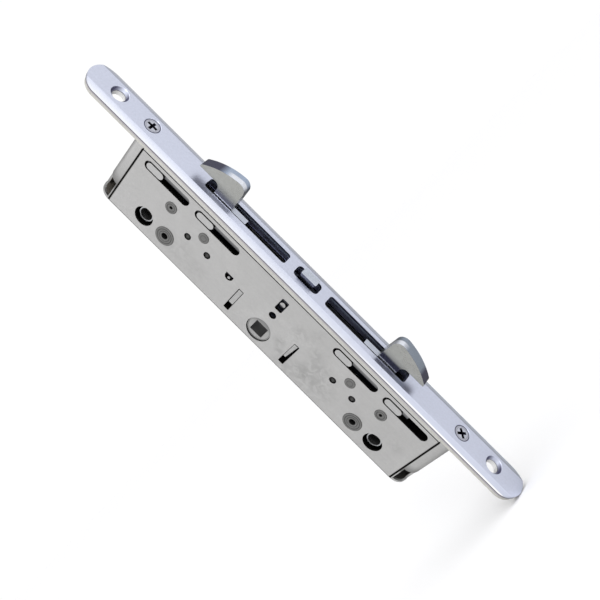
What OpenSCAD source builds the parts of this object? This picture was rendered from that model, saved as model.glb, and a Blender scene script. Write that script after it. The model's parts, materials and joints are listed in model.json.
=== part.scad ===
// Two-hook mortise lock for a sliding door.
// Origin: centre of the faceplate's front face. +X points out of the door edge,
// +Z up along the faceplate, and -Y is the side of the flat case cover.

/* [Faceplate] */
// Length of the faceplate, over its round ends
face_len = 307; // [290:1:330]
// Width of the faceplate
face_w = 22; // [20:0.5:26]
// Thickness of the faceplate at its flat land
face_t = 2.2; // [2:0.1:3]
// Width of the bevel along each long edge
bevel_w = 4; // [2:0.25:5]
// Drop of the bevel at the outer edge
bevel_drop = 1.8; // [0.8:0.1:1.9]
// Distance between the two door screw holes
door_hole_pitch = 267.6; // [260:0.2:276]
// Radius of the door screw holes
door_hole_r = 3; // [2.5:0.1:3.2]
// Radius of the countersink of the door screw holes
door_sink_r = 5.1; // [4.5:0.1:5.4]
// Distance from a cover seam to the faceplate screw beside it
face_screw_inset = 4.6; // [3.5:0.1:4.8]
// Radius of a faceplate screw's head
screw_head_r = 5; // [4.2:0.1:5.4]
// Radius of a faceplate screw's shank
screw_shank_r = 1.6; // [1.3:0.1:1.7]
// Length of a faceplate screw
screw_len = 15; // [11:0.5:16]

/* [Backing plate] */
// Thickness of the backing plate
back_t = 2.7; // [2:0.1:3.5]
// How far the backing plate stays inside the faceplate's edge
back_inset = 0.5; // [0.2:0.1:1]

/* [Openings in the face] */
// Length of each hook slot
hook_slot_len = 57; // [55:0.5:58]
// Distance from the middle of the lock to the middle of a hook slot
hook_slot_z = 42.75; // [42:0.25:43.5]
// Width of the hook slots and of the plunger slot
slot_w = 8.3; // [7.8:0.1:9]
// Corner radius of the hook slots
slot_corner_r = 1.8; // [1:0.1:3]
// Length of the plunger slot
plunger_slot_len = 16.5; // [13:0.5:20]
// Corner radius of the plunger slot
plunger_slot_corner_r = 2.4; // [1:0.1:3.5]

/* [Case] */
// Thickness of the case, side to side
case_t = 16; // [16:0.25:18]
// Depth of the case behind the backing plate
case_depth = 48; // [47:0.5:56]
// Distance between the two upright seams of the cover
cover_len = 212.4; // [210:0.2:216]
// Thickness of the case sheet
wall = 1.5; // [1.2:0.1:1.6]
// Gap round the cover
seam = 0.6; // [0.3:0.05:0.8]
// Gap between the cover and the backing plate
cover_front_gap = 0.6; // [0.3:0.05:0.8]
// Height of the window in each round end wall
end_window_h = 11.2; // [4:0.2:12]

/* [Spindle] */
// Distance from the faceplate's front to the spindle
backset = 43; // [42:0.25:44]
// Side of the square spindle hole
spindle_side = 8; // [7:0.5:9]
// Radius of the follower's hub
hub_r = 7.4; // [6.8:0.1:8]
// Depth of the hub's ends below the case's sides
hub_recess = 0.75; // [0.1:0.05:1]
// Module of the follower's teeth
tooth_m = 1; // [1:0.05:1.02]
// Number of teeth on the follower's full circle
tooth_count = 22; // [22:1:23]
// Turn of the spindle from locked to unlocked
spindle_turn = 90; // [60:5:90]

/* [Handle posts] */
// Distance between the two handle screw posts
handle_pitch = 170.4; // [168:0.2:172]
// Outer radius of a handle screw post
post_r = 4.45; // [4.2:0.05:4.8]
// Bore radius of a handle screw post
post_bore_r = 3.3; // [2.5:0.1:3.5]
// Radius of the cover's hole over a handle screw post
post_hole_r = 5.8; // [5.2:0.1:6.4]
// How far a post's end lies below the cover's face
post_recess = 2.35; // [1.6:0.05:3]

/* [Hooks] */
// Distance from the faceplate's front to the hook pivots
pivot_depth = 23.3; // [23:0.1:24]
// Distance from the middle of the lock to each hook pivot
pivot_z = 53.3; // [53:0.1:54]
// Thickness of a hook
hook_t = 6.6; // [5.5:0.1:6.8]
// Radius of the hook's outer curve about its pivot
hook_r = 40.2; // [39:0.1:41]
// Turn of a hook from thrown to withdrawn
hook_turn = 96; // [94:1:98]
// Width of the hook's neck
neck_w = 12.6; // [11:0.1:13]
// Gap between the faceplate and the underside of the hook's nose
throat = 6.4; // [5:0.1:7]
// Reach of the nose beyond the pivot
nose_reach = 25.4; // [22:0.2:25.4]
// Radius of the hook pivots
pivot_r = 2.5; // [2:0.1:2.8]
// Radius of the hook drive pins
pin_r = 1.75; // [1.4:0.05:2]
// Length of the heel beside a hook's neck
heel_len = 9.8; // [6:0.1:10.5]
// Thickness of the heel
heel_t = 3.7; // [2:0.1:4.5]

/* [Drive bars] */
// Thickness of a drive bar
bar_t = 2.4; // [2:0.1:2.6]
// Distance from the faceplate's front to the middle of the guide slots
guide_depth = 13.8; // [13.6:0.1:14.4]
// Width of the guide slots
guide_w = 5.8; // [5:0.1:6.2]
// Length of the guide slots
guide_len = 31.1; // [30.5:0.1:32]
// Length of a guide boss
boss_len = 11.3; // [9:0.1:11.5]
// Width of a guide boss
boss_w = 4.3; // [3.5:0.1:4.6]
// Distance from a cover seam to the guide slot beside it
guide_end_gap = 4.9; // [4:0.1:6]
// Distance between the middles of the two guide slots at one end
guide_step = 35.95; // [35.5:0.05:36.5]

/* [Plunger] */
// Length of the plunger's head along the faceplate
plunger_l = 10.2; // [8:0.1:11]
// Thickness of the plunger's head
plunger_t = 5.3; // [4.4:0.1:5.6]
// How far the plunger stands out of the faceplate
plunger_out = 3.1; // [2:0.1:3.5]
// Travel of the plunger
plunger_travel = 2.7; // [1.5:0.1:2.7]
// Radius of the plunger's guide pin
plunger_pin_r = 1.7; // [1.2:0.1:1.9]
// Length of the cover's window for the guide pin
window_len = 9; // [8.6:0.1:9.4]
// Width of the cover's window for the guide pin
window_w = 4.7; // [4:0.1:5.4]

/* [Rivets] */
// Head radius of the two large hollow rivets
big_rivet_r = 5.8; // [5:0.1:6.2]
// Distance between the two large hollow rivets
big_rivet_pitch = 140; // [138:0.5:142]
// Head radius of the two cover rivets
cover_rivet_r = 3.6; // [3:0.1:4]
// Distance between the two cover rivets
cover_rivet_pitch = 152.8; // [151:0.2:154]
// Head radius of the two hook pivots
pivot_head_r = 3.2; // [3:0.1:3.6]
// Head radius of the four small pad rivets
pad_rivet_r = 1.5; // [1.2:0.1:1.8]
// Distance between the two pad rivets beside each hook
pad_rivet_pitch = 14.1; // [13.5:0.1:14.6]
// How far the rivet heads stand off the case
head_h = 0.35; // [0.2:0.05:0.5]

/* [Hidden] */
$fn = 64;

// Small overrun that lets a cut pass a face
cut = 0.5;
// Running clearance between a shaft and its hole
run_gap = 0.08;
// Free gap between flat pieces that slide past each other
side_gap = 0.2;

// Places along Z that follow the case's length
face_screw_z = cover_len / 2 + face_screw_inset;
guide_outer_z = cover_len / 2 - guide_end_gap - guide_len / 2;
guide_z = [guide_outer_z, guide_outer_z - guide_step, guide_step - guide_outer_z, -guide_outer_z];

// Planes along X, from the face inwards
x_back = -(face_t + back_t);
x_rear = x_back - case_depth;
x_spindle = -backset;
x_pivot = -pivot_depth;
x_guide = -guide_depth;
x_big_rivet = -42.6;
x_cover_rivet = -24.2;
x_pad = -30.7;
x_post = -42.9;

// Layers along Y, from the cover to the base
y_out = case_t / 2;
y_in = y_out - wall;
y_hook = hook_t / 2;
y_front_bar = -y_in + side_gap;
y_rear_bar = y_in - side_gap;

// Motion
pitch_r = tooth_m * tooth_count / 2;
stroke = pitch_r * spindle_turn * PI / 180;
pin_swing_r = stroke / 2 / sin(hook_turn / 2);
pin_reach = pin_swing_r * cos(hook_turn / 2);
boss_end_gap = (guide_len - boss_len - stroke) / 2;

// Drive bars
bar_near = x_back - 0.7;
bar_far = x_guide - 0.5;
bar_top = guide_z[0] + guide_len / 2 - boss_end_gap + 0.8;
bar_bottom = guide_z[3] + guide_len / 2 - boss_end_gap - boss_len - 4;

steel = [0.72, 0.72, 0.70];
dull_steel = [0.52, 0.52, 0.52];
dark_steel = [0.32, 0.32, 0.34];
bright_steel = [0.82, 0.83, 0.85];
aluminium = [0.83, 0.84, 0.90];
black_nylon = [0.07, 0.07, 0.08];

// Extrudes an outline drawn in X and Z from y0 to y1.
module along_y(y0, y1) {
    translate([0, y1, 0])
        rotate([90, 0, 0])
            linear_extrude(y1 - y0) children();
}

// Extrudes an outline drawn in Y and Z from x0 to x1.
module along_x(x0, x1) {
    translate([x0, 0, 0])
        rotate([90, 0, 90])
            linear_extrude(x1 - x0) children();
}

// A round bar along Y.
module rod_y(x, z, r, y0, y1) {
    translate([x, y1, z])
        rotate([90, 0, 0])
            cylinder(r = r, h = y1 - y0);
}

// A round bar along X.
module rod_x(y, z, r, x0, x1) {
    translate([x0, y, z])
        rotate([0, 90, 0])
            cylinder(r = r, h = x1 - x0);
}

// A block between two corners.
module block(a, b) {
    translate(a) cube(b - a);
}

// A slot outline with round ends, its long side along the second axis.
module slot_shape(w, l) {
    square([w, l - w], center = true);
    for (s = [-1, 1])
        translate([0, s * (l - w) / 2]) circle(d = w);
}

// A rectangle outline with rounded corners.
module rounded_rect(w, l, r) {
    square([w, l - 2 * r], center = true);
    square([w - 2 * r, l], center = true);
    for (sx = [-1, 1], sy = [-1, 1])
        translate([sx * (w / 2 - r), sy * (l / 2 - r)]) circle(r = r);
}

// The openings that the faceplate and the backing plate share, drawn in Y and Z.
module face_openings() {
    for (s = [-1, 1])
        translate([0, s * hook_slot_z]) rounded_rect(slot_w, hook_slot_len, slot_corner_r);
    rounded_rect(slot_w, plunger_slot_len, plunger_slot_corner_r);
}

// A countersunk hole from the front face, as the solid to cut away.
module sunk_hole(z, r, head_r) {
    rod_x(0, z, r, x_back - cut, cut);
    translate([-(head_r - r), 0, z])
        rotate([0, 90, 0])
            cylinder(r1 = r, r2 = head_r + cut, h = head_r - r + cut);
}

module faceplate() {
    half = face_w / 2;
    land = half - bevel_w;
    profile = [[-face_t, -half], [-bevel_drop, -half], [0, -land], [0, land],
        [-bevel_drop, half], [-face_t, half]];
    color(aluminium)
        difference() {
            intersection() {
                translate([0, 0, -face_len / 2]) linear_extrude(face_len) polygon(profile);
                along_x(-face_t - cut, cut) slot_shape(face_w, face_len);
            }
            along_x(-face_t - cut, cut) face_openings();
            for (s = [-1, 1]) {
                sunk_hole(s * door_hole_pitch / 2, door_hole_r, door_sink_r);
                sunk_hole(s * face_screw_z, screw_shank_r + 0.3, screw_head_r + 0.2);
            }
        }
}

module backing_plate() {
    color(steel)
        difference() {
            along_x(x_back, -face_t)
                slot_shape(face_w - 2 * back_inset, face_len - 2 * back_inset);
            along_x(x_back - cut, -face_t + cut) face_openings();
            for (s = [-1, 1]) {
                rod_x(0, s * door_hole_pitch / 2, door_hole_r, x_back - cut, 0);
                sunk_hole(s * face_screw_z, screw_shank_r + 0.3, screw_head_r + 0.2);
            }
        }
}

// Outline of the case across its length, drawn in Y and Z.
module case_outline(inset) {
    slot_shape(case_t - 2 * inset, cover_len + case_t - 2 * inset);
}

// Every hole through both case sides, drawn in X and Z.
module shared_case_holes() {
    translate([x_spindle, 0]) circle(r = hub_r + run_gap);
    for (s = [-1, 1]) {
        translate([x_big_rivet, s * big_rivet_pitch / 2]) circle(r = big_rivet_r - 2.4);
        translate([x_cover_rivet, s * cover_rivet_pitch / 2]) circle(r = cover_rivet_r - 1.5);
        translate([x_pivot, s * pivot_z]) circle(r = pivot_r);
    }
}

module case_base() {
    seam_z = cover_len / 2;
    color(steel)
        difference() {
            along_x(x_rear, x_back) case_outline(0);
            along_x(x_rear + wall, x_back + cut) case_outline(wall);
            block([x_rear - cut, -y_out - cut, -seam_z], [x_back + cut, -y_in, seam_z]);
            along_y(y_in - cut, y_out + cut) {
                shared_case_holes();
                for (s = [-1, 1])
                    translate([x_post, s * handle_pitch / 2]) circle(r = post_r);
            }
            for (s = [-1, 1]) {
                z0 = s > 0 ? seam_z + 1 : -seam_z - y_out - cut;
                block([x_rear + wall, -y_out - cut, z0],
                    [x_rear + wall + end_window_h, 0, z0 + y_out - 1 + cut]);
            }
        }
}

// The half-moon hole, flat on its faceplate side, drawn in X and Z.
module half_moon() {
    r = 2.55;
    flat_side = 1.45;
    translate([-28.7 - flat_side, 30.35]) {
        circle(r = r);
        translate([0, -r]) square([flat_side, 2 * r]);
    }
}

module case_cover() {
    half = cover_len / 2 - seam;
    color(steel)
        along_y(-y_out, -y_in)
            difference() {
                translate([x_rear, -half]) square([x_back - cover_front_gap - x_rear, 2 * half]);
                shared_case_holes();
                for (z = guide_z)
                    translate([x_guide, z]) slot_shape(guide_w, guide_len);
                for (s = [-1, 1]) {
                    translate([x_post, s * handle_pitch / 2]) circle(r = post_hole_r);
                    translate([tab_slot_x, s * tab_slot_z])
                        rounded_rect(tab_slot_len, tab_slot_w, 0.5);
                    for (t = [-1, 1])
                        translate([x_pad, s * pad_z + t * pad_rivet_pitch / 2])
                            circle(r = pad_rivet_r + 0.6);
                }
                translate([window_x, 0]) rounded_rect(window_len, window_w, 0.8);
                translate([x_lock_hole, 0]) circle(r = lock_hole_r);
                half_moon();
            }
}

// Narrow slots that take the spring carrier's tabs
tab_slot_len = 17.6;
tab_slot_w = 3.5;
tab_slot_x = -40;
tab_slot_z = 20.5;
// Window of the plunger's pin, and the round hole below it
window_x = x_guide - window_len / 2;
x_lock_hole = -27.9;
lock_hole_r = 2.2;
// Middle of each hook's side pad
pad_z = pivot_z;

module end_block(s) {
    z_in = cover_len / 2 + 1.2;
    color(dull_steel)
        difference() {
            along_x(x_back - screw_len + 1, x_back)
                intersection() {
                    case_outline(wall);
                    translate([-y_out, s > 0 ? z_in : -z_in - y_out]) square([2 * y_out, y_out]);
                }
            rod_x(0, s * face_screw_z, screw_shank_r, x_back - screw_len, x_back + cut);
        }
}

module face_screw(s) {
    head_h = screw_head_r - screw_shank_r;
    tip = 1;
    color(bright_steel)
        translate([0, 0, s * face_screw_z])
            rotate([s > 0 ? 0 : 45, 0, 0])
                difference() {
                    union() {
                        translate([-head_h - 0.1, 0, 0])
                            rotate([0, 90, 0])
                                cylinder(r1 = screw_shank_r, r2 = screw_head_r, h = head_h);
                        rod_x(0, 0, screw_shank_r, -screw_len + tip, -head_h);
                        translate([-screw_len, 0, 0])
                            rotate([0, 90, 0])
                                cylinder(r1 = screw_shank_r - tip * 0.6, r2 = screw_shank_r, h = tip);
                    }
                    for (a = [0, 90])
                        rotate([a, 0, 0])
                            block([-2, -2.7, -0.55], [cut, 2.7, 0.55]);
                }
}

module handle_post(s) {
    collar_r = post_r + 1.2;
    color(bright_steel)
        translate([0, 0, s * handle_pitch / 2])
            difference() {
                union() {
                    rod_y(x_post, 0, post_r, -y_out + post_recess, y_out);
                    rod_y(x_post, 0, collar_r, y_in - 1.5, y_in);
                }
                rod_y(x_post, 0, post_bore_r, -y_out, y_out + cut);
            }
}

// A rivet through both case sides, with a sleeve between them and a hole down its middle.
module case_rivet(x, z, head_r, shank_r, sleeve_r, hole_r) {
    difference() {
        union() {
            rod_y(x, z, shank_r, -y_out - head_h, y_out + head_h);
            rod_y(x, z, sleeve_r, -y_in, y_in);
            for (s = [-1, 1])
                rod_y(x, z, head_r, s > 0 ? y_out : -y_out - head_h, s > 0 ? y_out + head_h : -y_out);
        }
        if (hole_r > 0)
            rod_y(x, z, hole_r, -case_t, case_t);
    }
}

module big_rivet(s) {
    color(dull_steel)
        case_rivet(x_big_rivet, s * big_rivet_pitch / 2, big_rivet_r, big_rivet_r - 2.4,
            big_rivet_r - 1.2, 1.9);
}

module cover_rivet(s) {
    color(dull_steel)
        case_rivet(x_cover_rivet, s * cover_rivet_pitch / 2, cover_rivet_r,
            cover_rivet_r - 1.5, cover_rivet_r - 1, 0.9);
}

module hook_pivot(s) {
    color(dull_steel)
        union() {
            rod_y(x_pivot, s * pivot_z, pivot_r, -y_out - head_h, y_out + head_h);
            rod_y(x_pivot, s * pivot_z, pivot_head_r, -y_out - head_h, -y_out);
            rod_y(x_pivot, s * pivot_z, pivot_head_r, y_out, y_out + head_h);
        }
}

washer_r = 3.8;

module pivot_washers() {
    gap = 0.1;
    color(bright_steel)
        for (s = [-1, 1], t = [-1, 1])
            difference() {
                rod_y(x_pivot, s * pivot_z, washer_r,
                    t > 0 ? y_hook + gap : -y_in, t > 0 ? y_in : -y_hook - gap);
                rod_y(x_pivot, s * pivot_z, pivot_r, -case_t, case_t);
            }
}

pad_w = 4.4;
pad_len = pad_rivet_pitch + 4.8;

module hook_pad(s) {
    color(black_nylon)
        difference() {
            along_y(-y_in, -y_hook - 0.3)
                translate([x_pad, s * pad_z]) slot_shape(pad_w, pad_len);
            for (t = [-1, 1])
                rod_y(x_pad, s * pad_z + t * pad_rivet_pitch / 2, pad_rivet_r - 0.4, -case_t, case_t);
        }
}

module pad_rivets() {
    color(dull_steel)
        for (s = [-1, 1], t = [-1, 1]) {
            z = s * pad_z + t * pad_rivet_pitch / 2;
            rod_y(x_pad, z, pad_rivet_r, -y_out + 0.1, -y_in);
            rod_y(x_pad, z, pad_rivet_r - 0.4, -y_in - 0.1, -y_hook - 0.4);
        }
}

carrier_t = 2.1;
carrier_y = -y_in + 0.1;
leaf_gap = 0.15;
tab_x = [-43.4, -31.8];
core_r = 8.1;
leaf_t = 0.6;

module spring_carrier() {
    y1 = carrier_y + carrier_t;
    leaf_z = core_r + leaf_gap;
    color(bright_steel)
        difference() {
            union() {
                block([x_rear + wall + 0.5, carrier_y, -tab_slot_z - 1], [-34.4, y1, tab_slot_z + 1]);
                block([-32.6, carrier_y, tab_slot_z - 1], [-29.6, y1, 32]);
                block([-34.5, carrier_y, tab_slot_z - 1], [-29.6, y1, tab_slot_z + 1]);
                // Tabs that fill the upper part of the cover's narrow slots
                block([tab_x[0], -y_out + 0.1, tab_slot_z - 1.4], [tab_x[1], carrier_y, tab_slot_z + 1.3]);
                along_y(-y_out + 0.1, carrier_y)
                    translate([0, -tab_slot_z])
                        polygon([[tab_x[0], 0.1], [tab_x[1], -0.9], [tab_x[1], 1.5], [tab_x[0], 1.5]]);
                block([-36, carrier_y, -tab_slot_z - 0.2], [tab_x[1], y1, -tab_slot_z + 1.7]);
                // Posts that hold the two leaf springs
                for (s = [-1, 1], x = [x_rear + wall + 0.9, -37])
                    block([x, y1 - 0.1, s > 0 ? leaf_z + leaf_t : -leaf_z - leaf_t - 2],
                        [x + 2, y_hook, s > 0 ? leaf_z + leaf_t + 2 : -leaf_z - leaf_t]);
                // Pip seen through the half-moon hole
                rod_y(-31.3, 30.1, 0.8, -y_out + 0.4, carrier_y + 0.1);
            }
            rod_y(x_spindle, 0, hub_r + 0.3, -case_t, case_t);
            for (s = [-1, 1])
                block([x_rear, -y_in, s > 0 ? tab_slot_z - 2.2 : -tab_slot_z - 3],
                    [tab_x[0] - side_gap, y_hook, s > 0 ? tab_slot_z + 3 : -tab_slot_z + 2.2]);
        }
}

module detent_spring(s) {
    z0 = core_r + leaf_gap;
    color(dull_steel)
        mirror([0, 0, s > 0 ? 0 : 1])
            along_y(-y_hook + 1, y_hook - 1)
                translate([x_spindle - 7.5, z0]) square([16, leaf_t]);
}

guide_tail = x_lock_hole - lock_hole_r - 1.2;
cavity_end = x_lock_hole + lock_hole_r + 0.6;
stem_l = plunger_l - 0.6;
stem_t = plunger_t - 0.6;
stem_end = cavity_end + plunger_travel + 1.2;
spring_r = 1.5;
spring_y = 0.3;
plunger_bore_end = -8.5;

module plunger_guide() {
    color(black_nylon)
        difference() {
            union() {
                block([guide_tail, -y_hook - 0.2, -9.5], [x_back, y_hook, 9.5]);
                block([guide_tail, -y_in, -6], [bar_far - 0.6, y_hook, 6]);
            }
            block([cavity_end, -stem_t / 2 - side_gap, -stem_l / 2 - side_gap],
                [x_back + cut, stem_t / 2 + side_gap, stem_l / 2 + side_gap]);
            along_y(-case_t, 0)
                translate([plunger_pin_x - plunger_travel / 2, 0])
                    square([plunger_travel + 2 * plunger_pin_r + 0.3, 2 * plunger_pin_r + 0.4], center = true);
            rod_y(x_lock_hole, 0, lock_hole_r, -case_t, case_t);
        }
}

module plunger() {
    head_base = 1;
    color(bright_steel)
        difference() {
            union() {
                along_x(head_base, plunger_out) rounded_rect(plunger_t, plunger_l, 0.8);
                along_x(stem_end, head_base) rounded_rect(stem_t, stem_l, 0.6);
            }
            rod_x(spring_y, 0, spring_r + 0.2, stem_end - cut, plunger_bore_end);
            rod_y(plunger_pin_x, 0, plunger_pin_r, -case_t, -spring_r + 0.1);
        }
}

plunger_pin_x = window_x;

module plunger_pin() {
    color(bright_steel)
        rod_y(plunger_pin_x, 0, plunger_pin_r, -y_out + 0.6, -spring_r + 0.1);
}

// A closed coil along X, made of joined rings round a thin sleeve.
module plunger_spring() {
    x1 = plunger_bore_end - 0.1;
    wire = 0.25;
    pitch = 1.3;
    color(dull_steel)
        translate([cavity_end, spring_y, 0])
            rotate([0, 90, 0])
                difference() {
                    union() {
                        cylinder(r = spring_r - wire, h = x1 - cavity_end);
                        for (i = [0:floor((x1 - cavity_end - 2 * wire) / pitch)])
                            translate([0, 0, wire + i * pitch])
                                rotate_extrude() translate([spring_r - wire, 0]) circle(r = wire, $fn = 16);
                    }
                    translate([0, 0, -cut])
                        cylinder(r = spring_r - 2 * wire, h = x1 - cavity_end + 2 * cut);
                }
}

// One gear tooth, pointing along the first axis, from its root circle to its tip.
function involute(base, t) = [base * (cos(t) + t * PI / 180 * sin(t)), base * (sin(t) - t * PI / 180 * cos(t))];
function turned(p, a) = [p[0] * cos(a) - p[1] * sin(a), p[0] * sin(a) + p[1] * cos(a)];
pressure = 20;
backlash = 0.12;

module tooth_shape() {
    base = pitch_r * cos(pressure);
    tip_r = pitch_r + tooth_m * 0.95;
    roll_pitch = sqrt(pow(pitch_r / base, 2) - 1) * 180 / PI;
    roll_tip = sqrt(pow(tip_r / base, 2) - 1) * 180 / PI;
    half_angle = 90 / tooth_count - backlash / 2 / pitch_r * 180 / PI;
    lead = roll_pitch - atan(roll_pitch * PI / 180) + half_angle;
    steps = 8;
    flank = [for (i = [0:steps]) turned(involute(base, roll_tip * i / steps), -lead)];
    root = [turned([pitch_r - 1.3 * tooth_m, 0], -lead)];
    mirrored = [for (i = [steps:-1:0]) [flank[i][0], -flank[i][1]]];
    polygon(concat(root, flank, mirrored, [[root[0][0], -root[0][1]]]));
}

sector_from = -1;
sector_to = 6;

module follower() {
    root_r = pitch_r - 1.25 * tooth_m;
    step = 360 / tooth_count;
    color(dull_steel)
        difference() {
            union() {
                rod_y(x_spindle, 0, hub_r, -y_out + hub_recess, y_out - hub_recess);
                rod_y(x_spindle, 0, core_r, -y_hook + 0.2, y_rear_bar);
                along_y(y_rear_bar - bar_t, y_rear_bar)
                    translate([x_spindle, 0]) {
                        circle(r = core_r);
                        intersection() {
                            circle(r = root_r);
                            polygon([[0, 0], for (a = [sector_from, 1, 4, sector_to])
                                turned([2 * root_r, 0], (a + (a < 2 ? -0.45 : 0.45)) * step)]);
                        }
                        for (i = [sector_from:sector_to])
                            rotate([0, 0, i * step]) tooth_shape();
                    }
            }
            along_y(-case_t, case_t)
                translate([x_spindle, 0]) square(spindle_side, center = true);
        }
}

// The rack's outline, with its teeth towards the follower, drawn in X and Z.
module rack_shape(z0, z1) {
    pitch = PI * tooth_m;
    x_pitch = x_spindle + pitch_r;
    x_root = x_pitch + 1.25 * tooth_m;
    x_tip = x_pitch - 0.95 * tooth_m;
    half_pitch_gap = pitch / 4 + backlash / 2;
    slope = tan(pressure);
    difference() {
        translate([x_tip, z0]) square([x_root + 1 - x_tip, z1 - z0]);
        for (i = [floor(z0 / pitch):ceil(z1 / pitch)])
            translate([0, i * pitch])
                polygon([[x_root, -half_pitch_gap + slope * 1.25 * tooth_m],
                    [x_root, half_pitch_gap - slope * 1.25 * tooth_m],
                    [x_tip - cut, half_pitch_gap + slope * (0.95 * tooth_m + cut)],
                    [x_tip - cut, -half_pitch_gap - slope * (0.95 * tooth_m + cut)]]);
    }
}

module bar_strip() {
    translate([bar_far, bar_bottom]) square([bar_near - bar_far, bar_top - bar_bottom]);
}

// Place of a guide boss at rest, at the upper end of its slot.
function boss_z(i) = guide_z[i] + guide_len / 2 - boss_end_gap - boss_len / 2;

link_x = (bar_near + bar_far) / 2;
link_r = 1.6;

module front_drive_bar() {
    color(dark_steel)
        difference() {
            along_y(y_front_bar, y_front_bar + bar_t) {
                bar_strip();
                for (i = [0:3])
                    translate([x_guide, boss_z(i)]) slot_shape(boss_w, boss_len);
            }
            for (i = [0, 3])
                rod_y(link_x, boss_z(i), link_r, -case_t, case_t);
        }
}

// Slot in which a hook's pin slides, drawn in X and Z about the hook's pivot.
module yoke_slot(s) {
    slack = 0.55;
    w = 2 * (pin_r + slack);
    mid = (pin_swing_r + pin_reach) / 2;
    translate([x_pivot + s * mid, s * pivot_z + stroke / 2])
        rotate([0, 0, 90]) slot_shape(w, pin_swing_r - pin_reach + w);
}

module rear_drive_bar() {
    pin_z_up = pivot_z + stroke / 2;
    pin_z_low = -pivot_z + stroke / 2;
    arm_far = x_pivot - pin_swing_r - pin_r - 2.3;
    arm_near = x_pivot - washer_r - 0.5;
    bridge_z = -pivot_z + stroke + washer_r + 0.5;
    color(dark_steel)
        difference() {
            along_y(y_rear_bar - bar_t, y_rear_bar)
                difference() {
                    union() {
                        bar_strip();
                        translate([x_pivot + washer_r + 0.4, pin_z_up - 4.4])
                            square([bar_far - x_pivot - washer_r, 8.8]);
                        translate([x_spindle + pitch_r + 1.25 * tooth_m, -5])
                            square([bar_far - x_spindle - pitch_r - 1, 27]);
                        rack_shape(-5, 22);
                        translate([arm_far + 2, bridge_z]) square([bar_far - arm_far - 1, 6]);
                        translate([arm_far, pin_z_low - 2]) square([arm_near - arm_far, bridge_z - pin_z_low + 6]);
                        translate([arm_far + 2.5, pin_z_low - 4.5]) square([arm_near - arm_far - 2.5, 3]);
                        translate([arm_far + 2.5, pin_z_low - 2]) circle(r = 2.5);
                    }
                    yoke_slot(1);
                    yoke_slot(-1);
                }
            for (i = [0, 3])
                rod_y(link_x, boss_z(i), link_r, -case_t, case_t);
        }
}

module guide_boss(i) {
    color(bright_steel)
        along_y(-y_out - 0.2, y_front_bar)
            translate([x_guide, boss_z(i)]) slot_shape(boss_w, boss_len);
}

module bar_rivet(i) {
    sleeve_r = 2.6;
    color(dull_steel)
        union() {
            rod_y(link_x, boss_z(i), link_r, y_front_bar, y_rear_bar);
            rod_y(link_x, boss_z(i), sleeve_r, y_front_bar + bar_t, y_rear_bar - bar_t);
        }
}

// The hook's outline about its pivot, nose up, before its tail is added.
module hook_blade() {
    under = pivot_depth + throat;
    inner = -1.1;
    outer = inner + neck_w;
    corner_r = 4.5;
    fillet = 3;
    centre_w = inner + 0.4 + corner_r;
    centre_u = sqrt(pow(hook_r - corner_r, 2) - pow(centre_w, 2));
    difference() {
        union() {
            intersection() {
                circle(r = hook_r, $fn = 128);
                polygon([[3, inner - 0.8], [centre_u, inner + 0.4], [centre_u, centre_w],
                    [centre_u * 1.3, centre_w * 1.3], [hook_r, nose_reach - 4.2],
                    [under + 1, nose_reach], [3, nose_reach]]);
            }
            translate([centre_u, centre_w]) circle(r = corner_r);
        }
        // Throat behind the nose
        translate([-1, outer + fillet]) square([under + 1, nose_reach]);
        translate([-1, outer]) square([under - fillet + 1, nose_reach]);
        translate([under - fillet, outer + fillet]) circle(r = fillet);
    }
}

module hook_body(pin_u, pin_w) {
    hub = 7;
    lobe = pin_r + 2.3;
    arm = sqrt(pow(pin_u, 2) + pow(pin_w, 2));
    side = hub - 1.2;
    nu = -pin_w / arm;
    nw = pin_u / arm;
    difference() {
        union() {
            along_y(-y_hook, y_hook) {
                hook_blade();
                circle(r = hub);
                polygon([[-1, -hub + 0.2], [pivot_depth - 5, -1.1], [pivot_depth - 5, neck_w - 1.1],
                    [-1, hub - 0.2]]);
                translate([pin_u, pin_w]) circle(r = lobe);
                polygon([[nu * side, nw * side], [pin_u + nu * lobe * 0.98, pin_w + nw * lobe * 0.98],
                    [pin_u - nu * lobe * 0.98, pin_w - nw * lobe * 0.98], [-nu * side, -nw * side]]);
            }
            along_y(-y_hook, -y_hook + heel_t)
                polygon([[5, -5.5], [pivot_depth - 6, -heel_len - 1.1], [pivot_depth - 0.3, -heel_len - 1.1],
                    [pivot_depth - 0.3, 0], [5, 0]]);
        }
        rod_y(0, 0, pivot_r + run_gap, -case_t, case_t);
        rod_y(pin_u, pin_w, pin_r, -case_t, case_t);
    }
}

module upper_hook() {
    color(bright_steel)
        translate([x_pivot, 0, pivot_z])
            hook_body(pin_reach, stroke / 2);
}

module lower_hook() {
    color(bright_steel)
        translate([x_pivot, 0, -pivot_z])
            mirror([0, 0, 1])
                hook_body(-pin_reach, -stroke / 2);
}

module hook_pin(s) {
    color(dull_steel)
        rod_y(x_pivot + s * pin_reach, s * pivot_z + stroke / 2, pin_r, -y_hook + 0.3, y_rear_bar);
}

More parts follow.
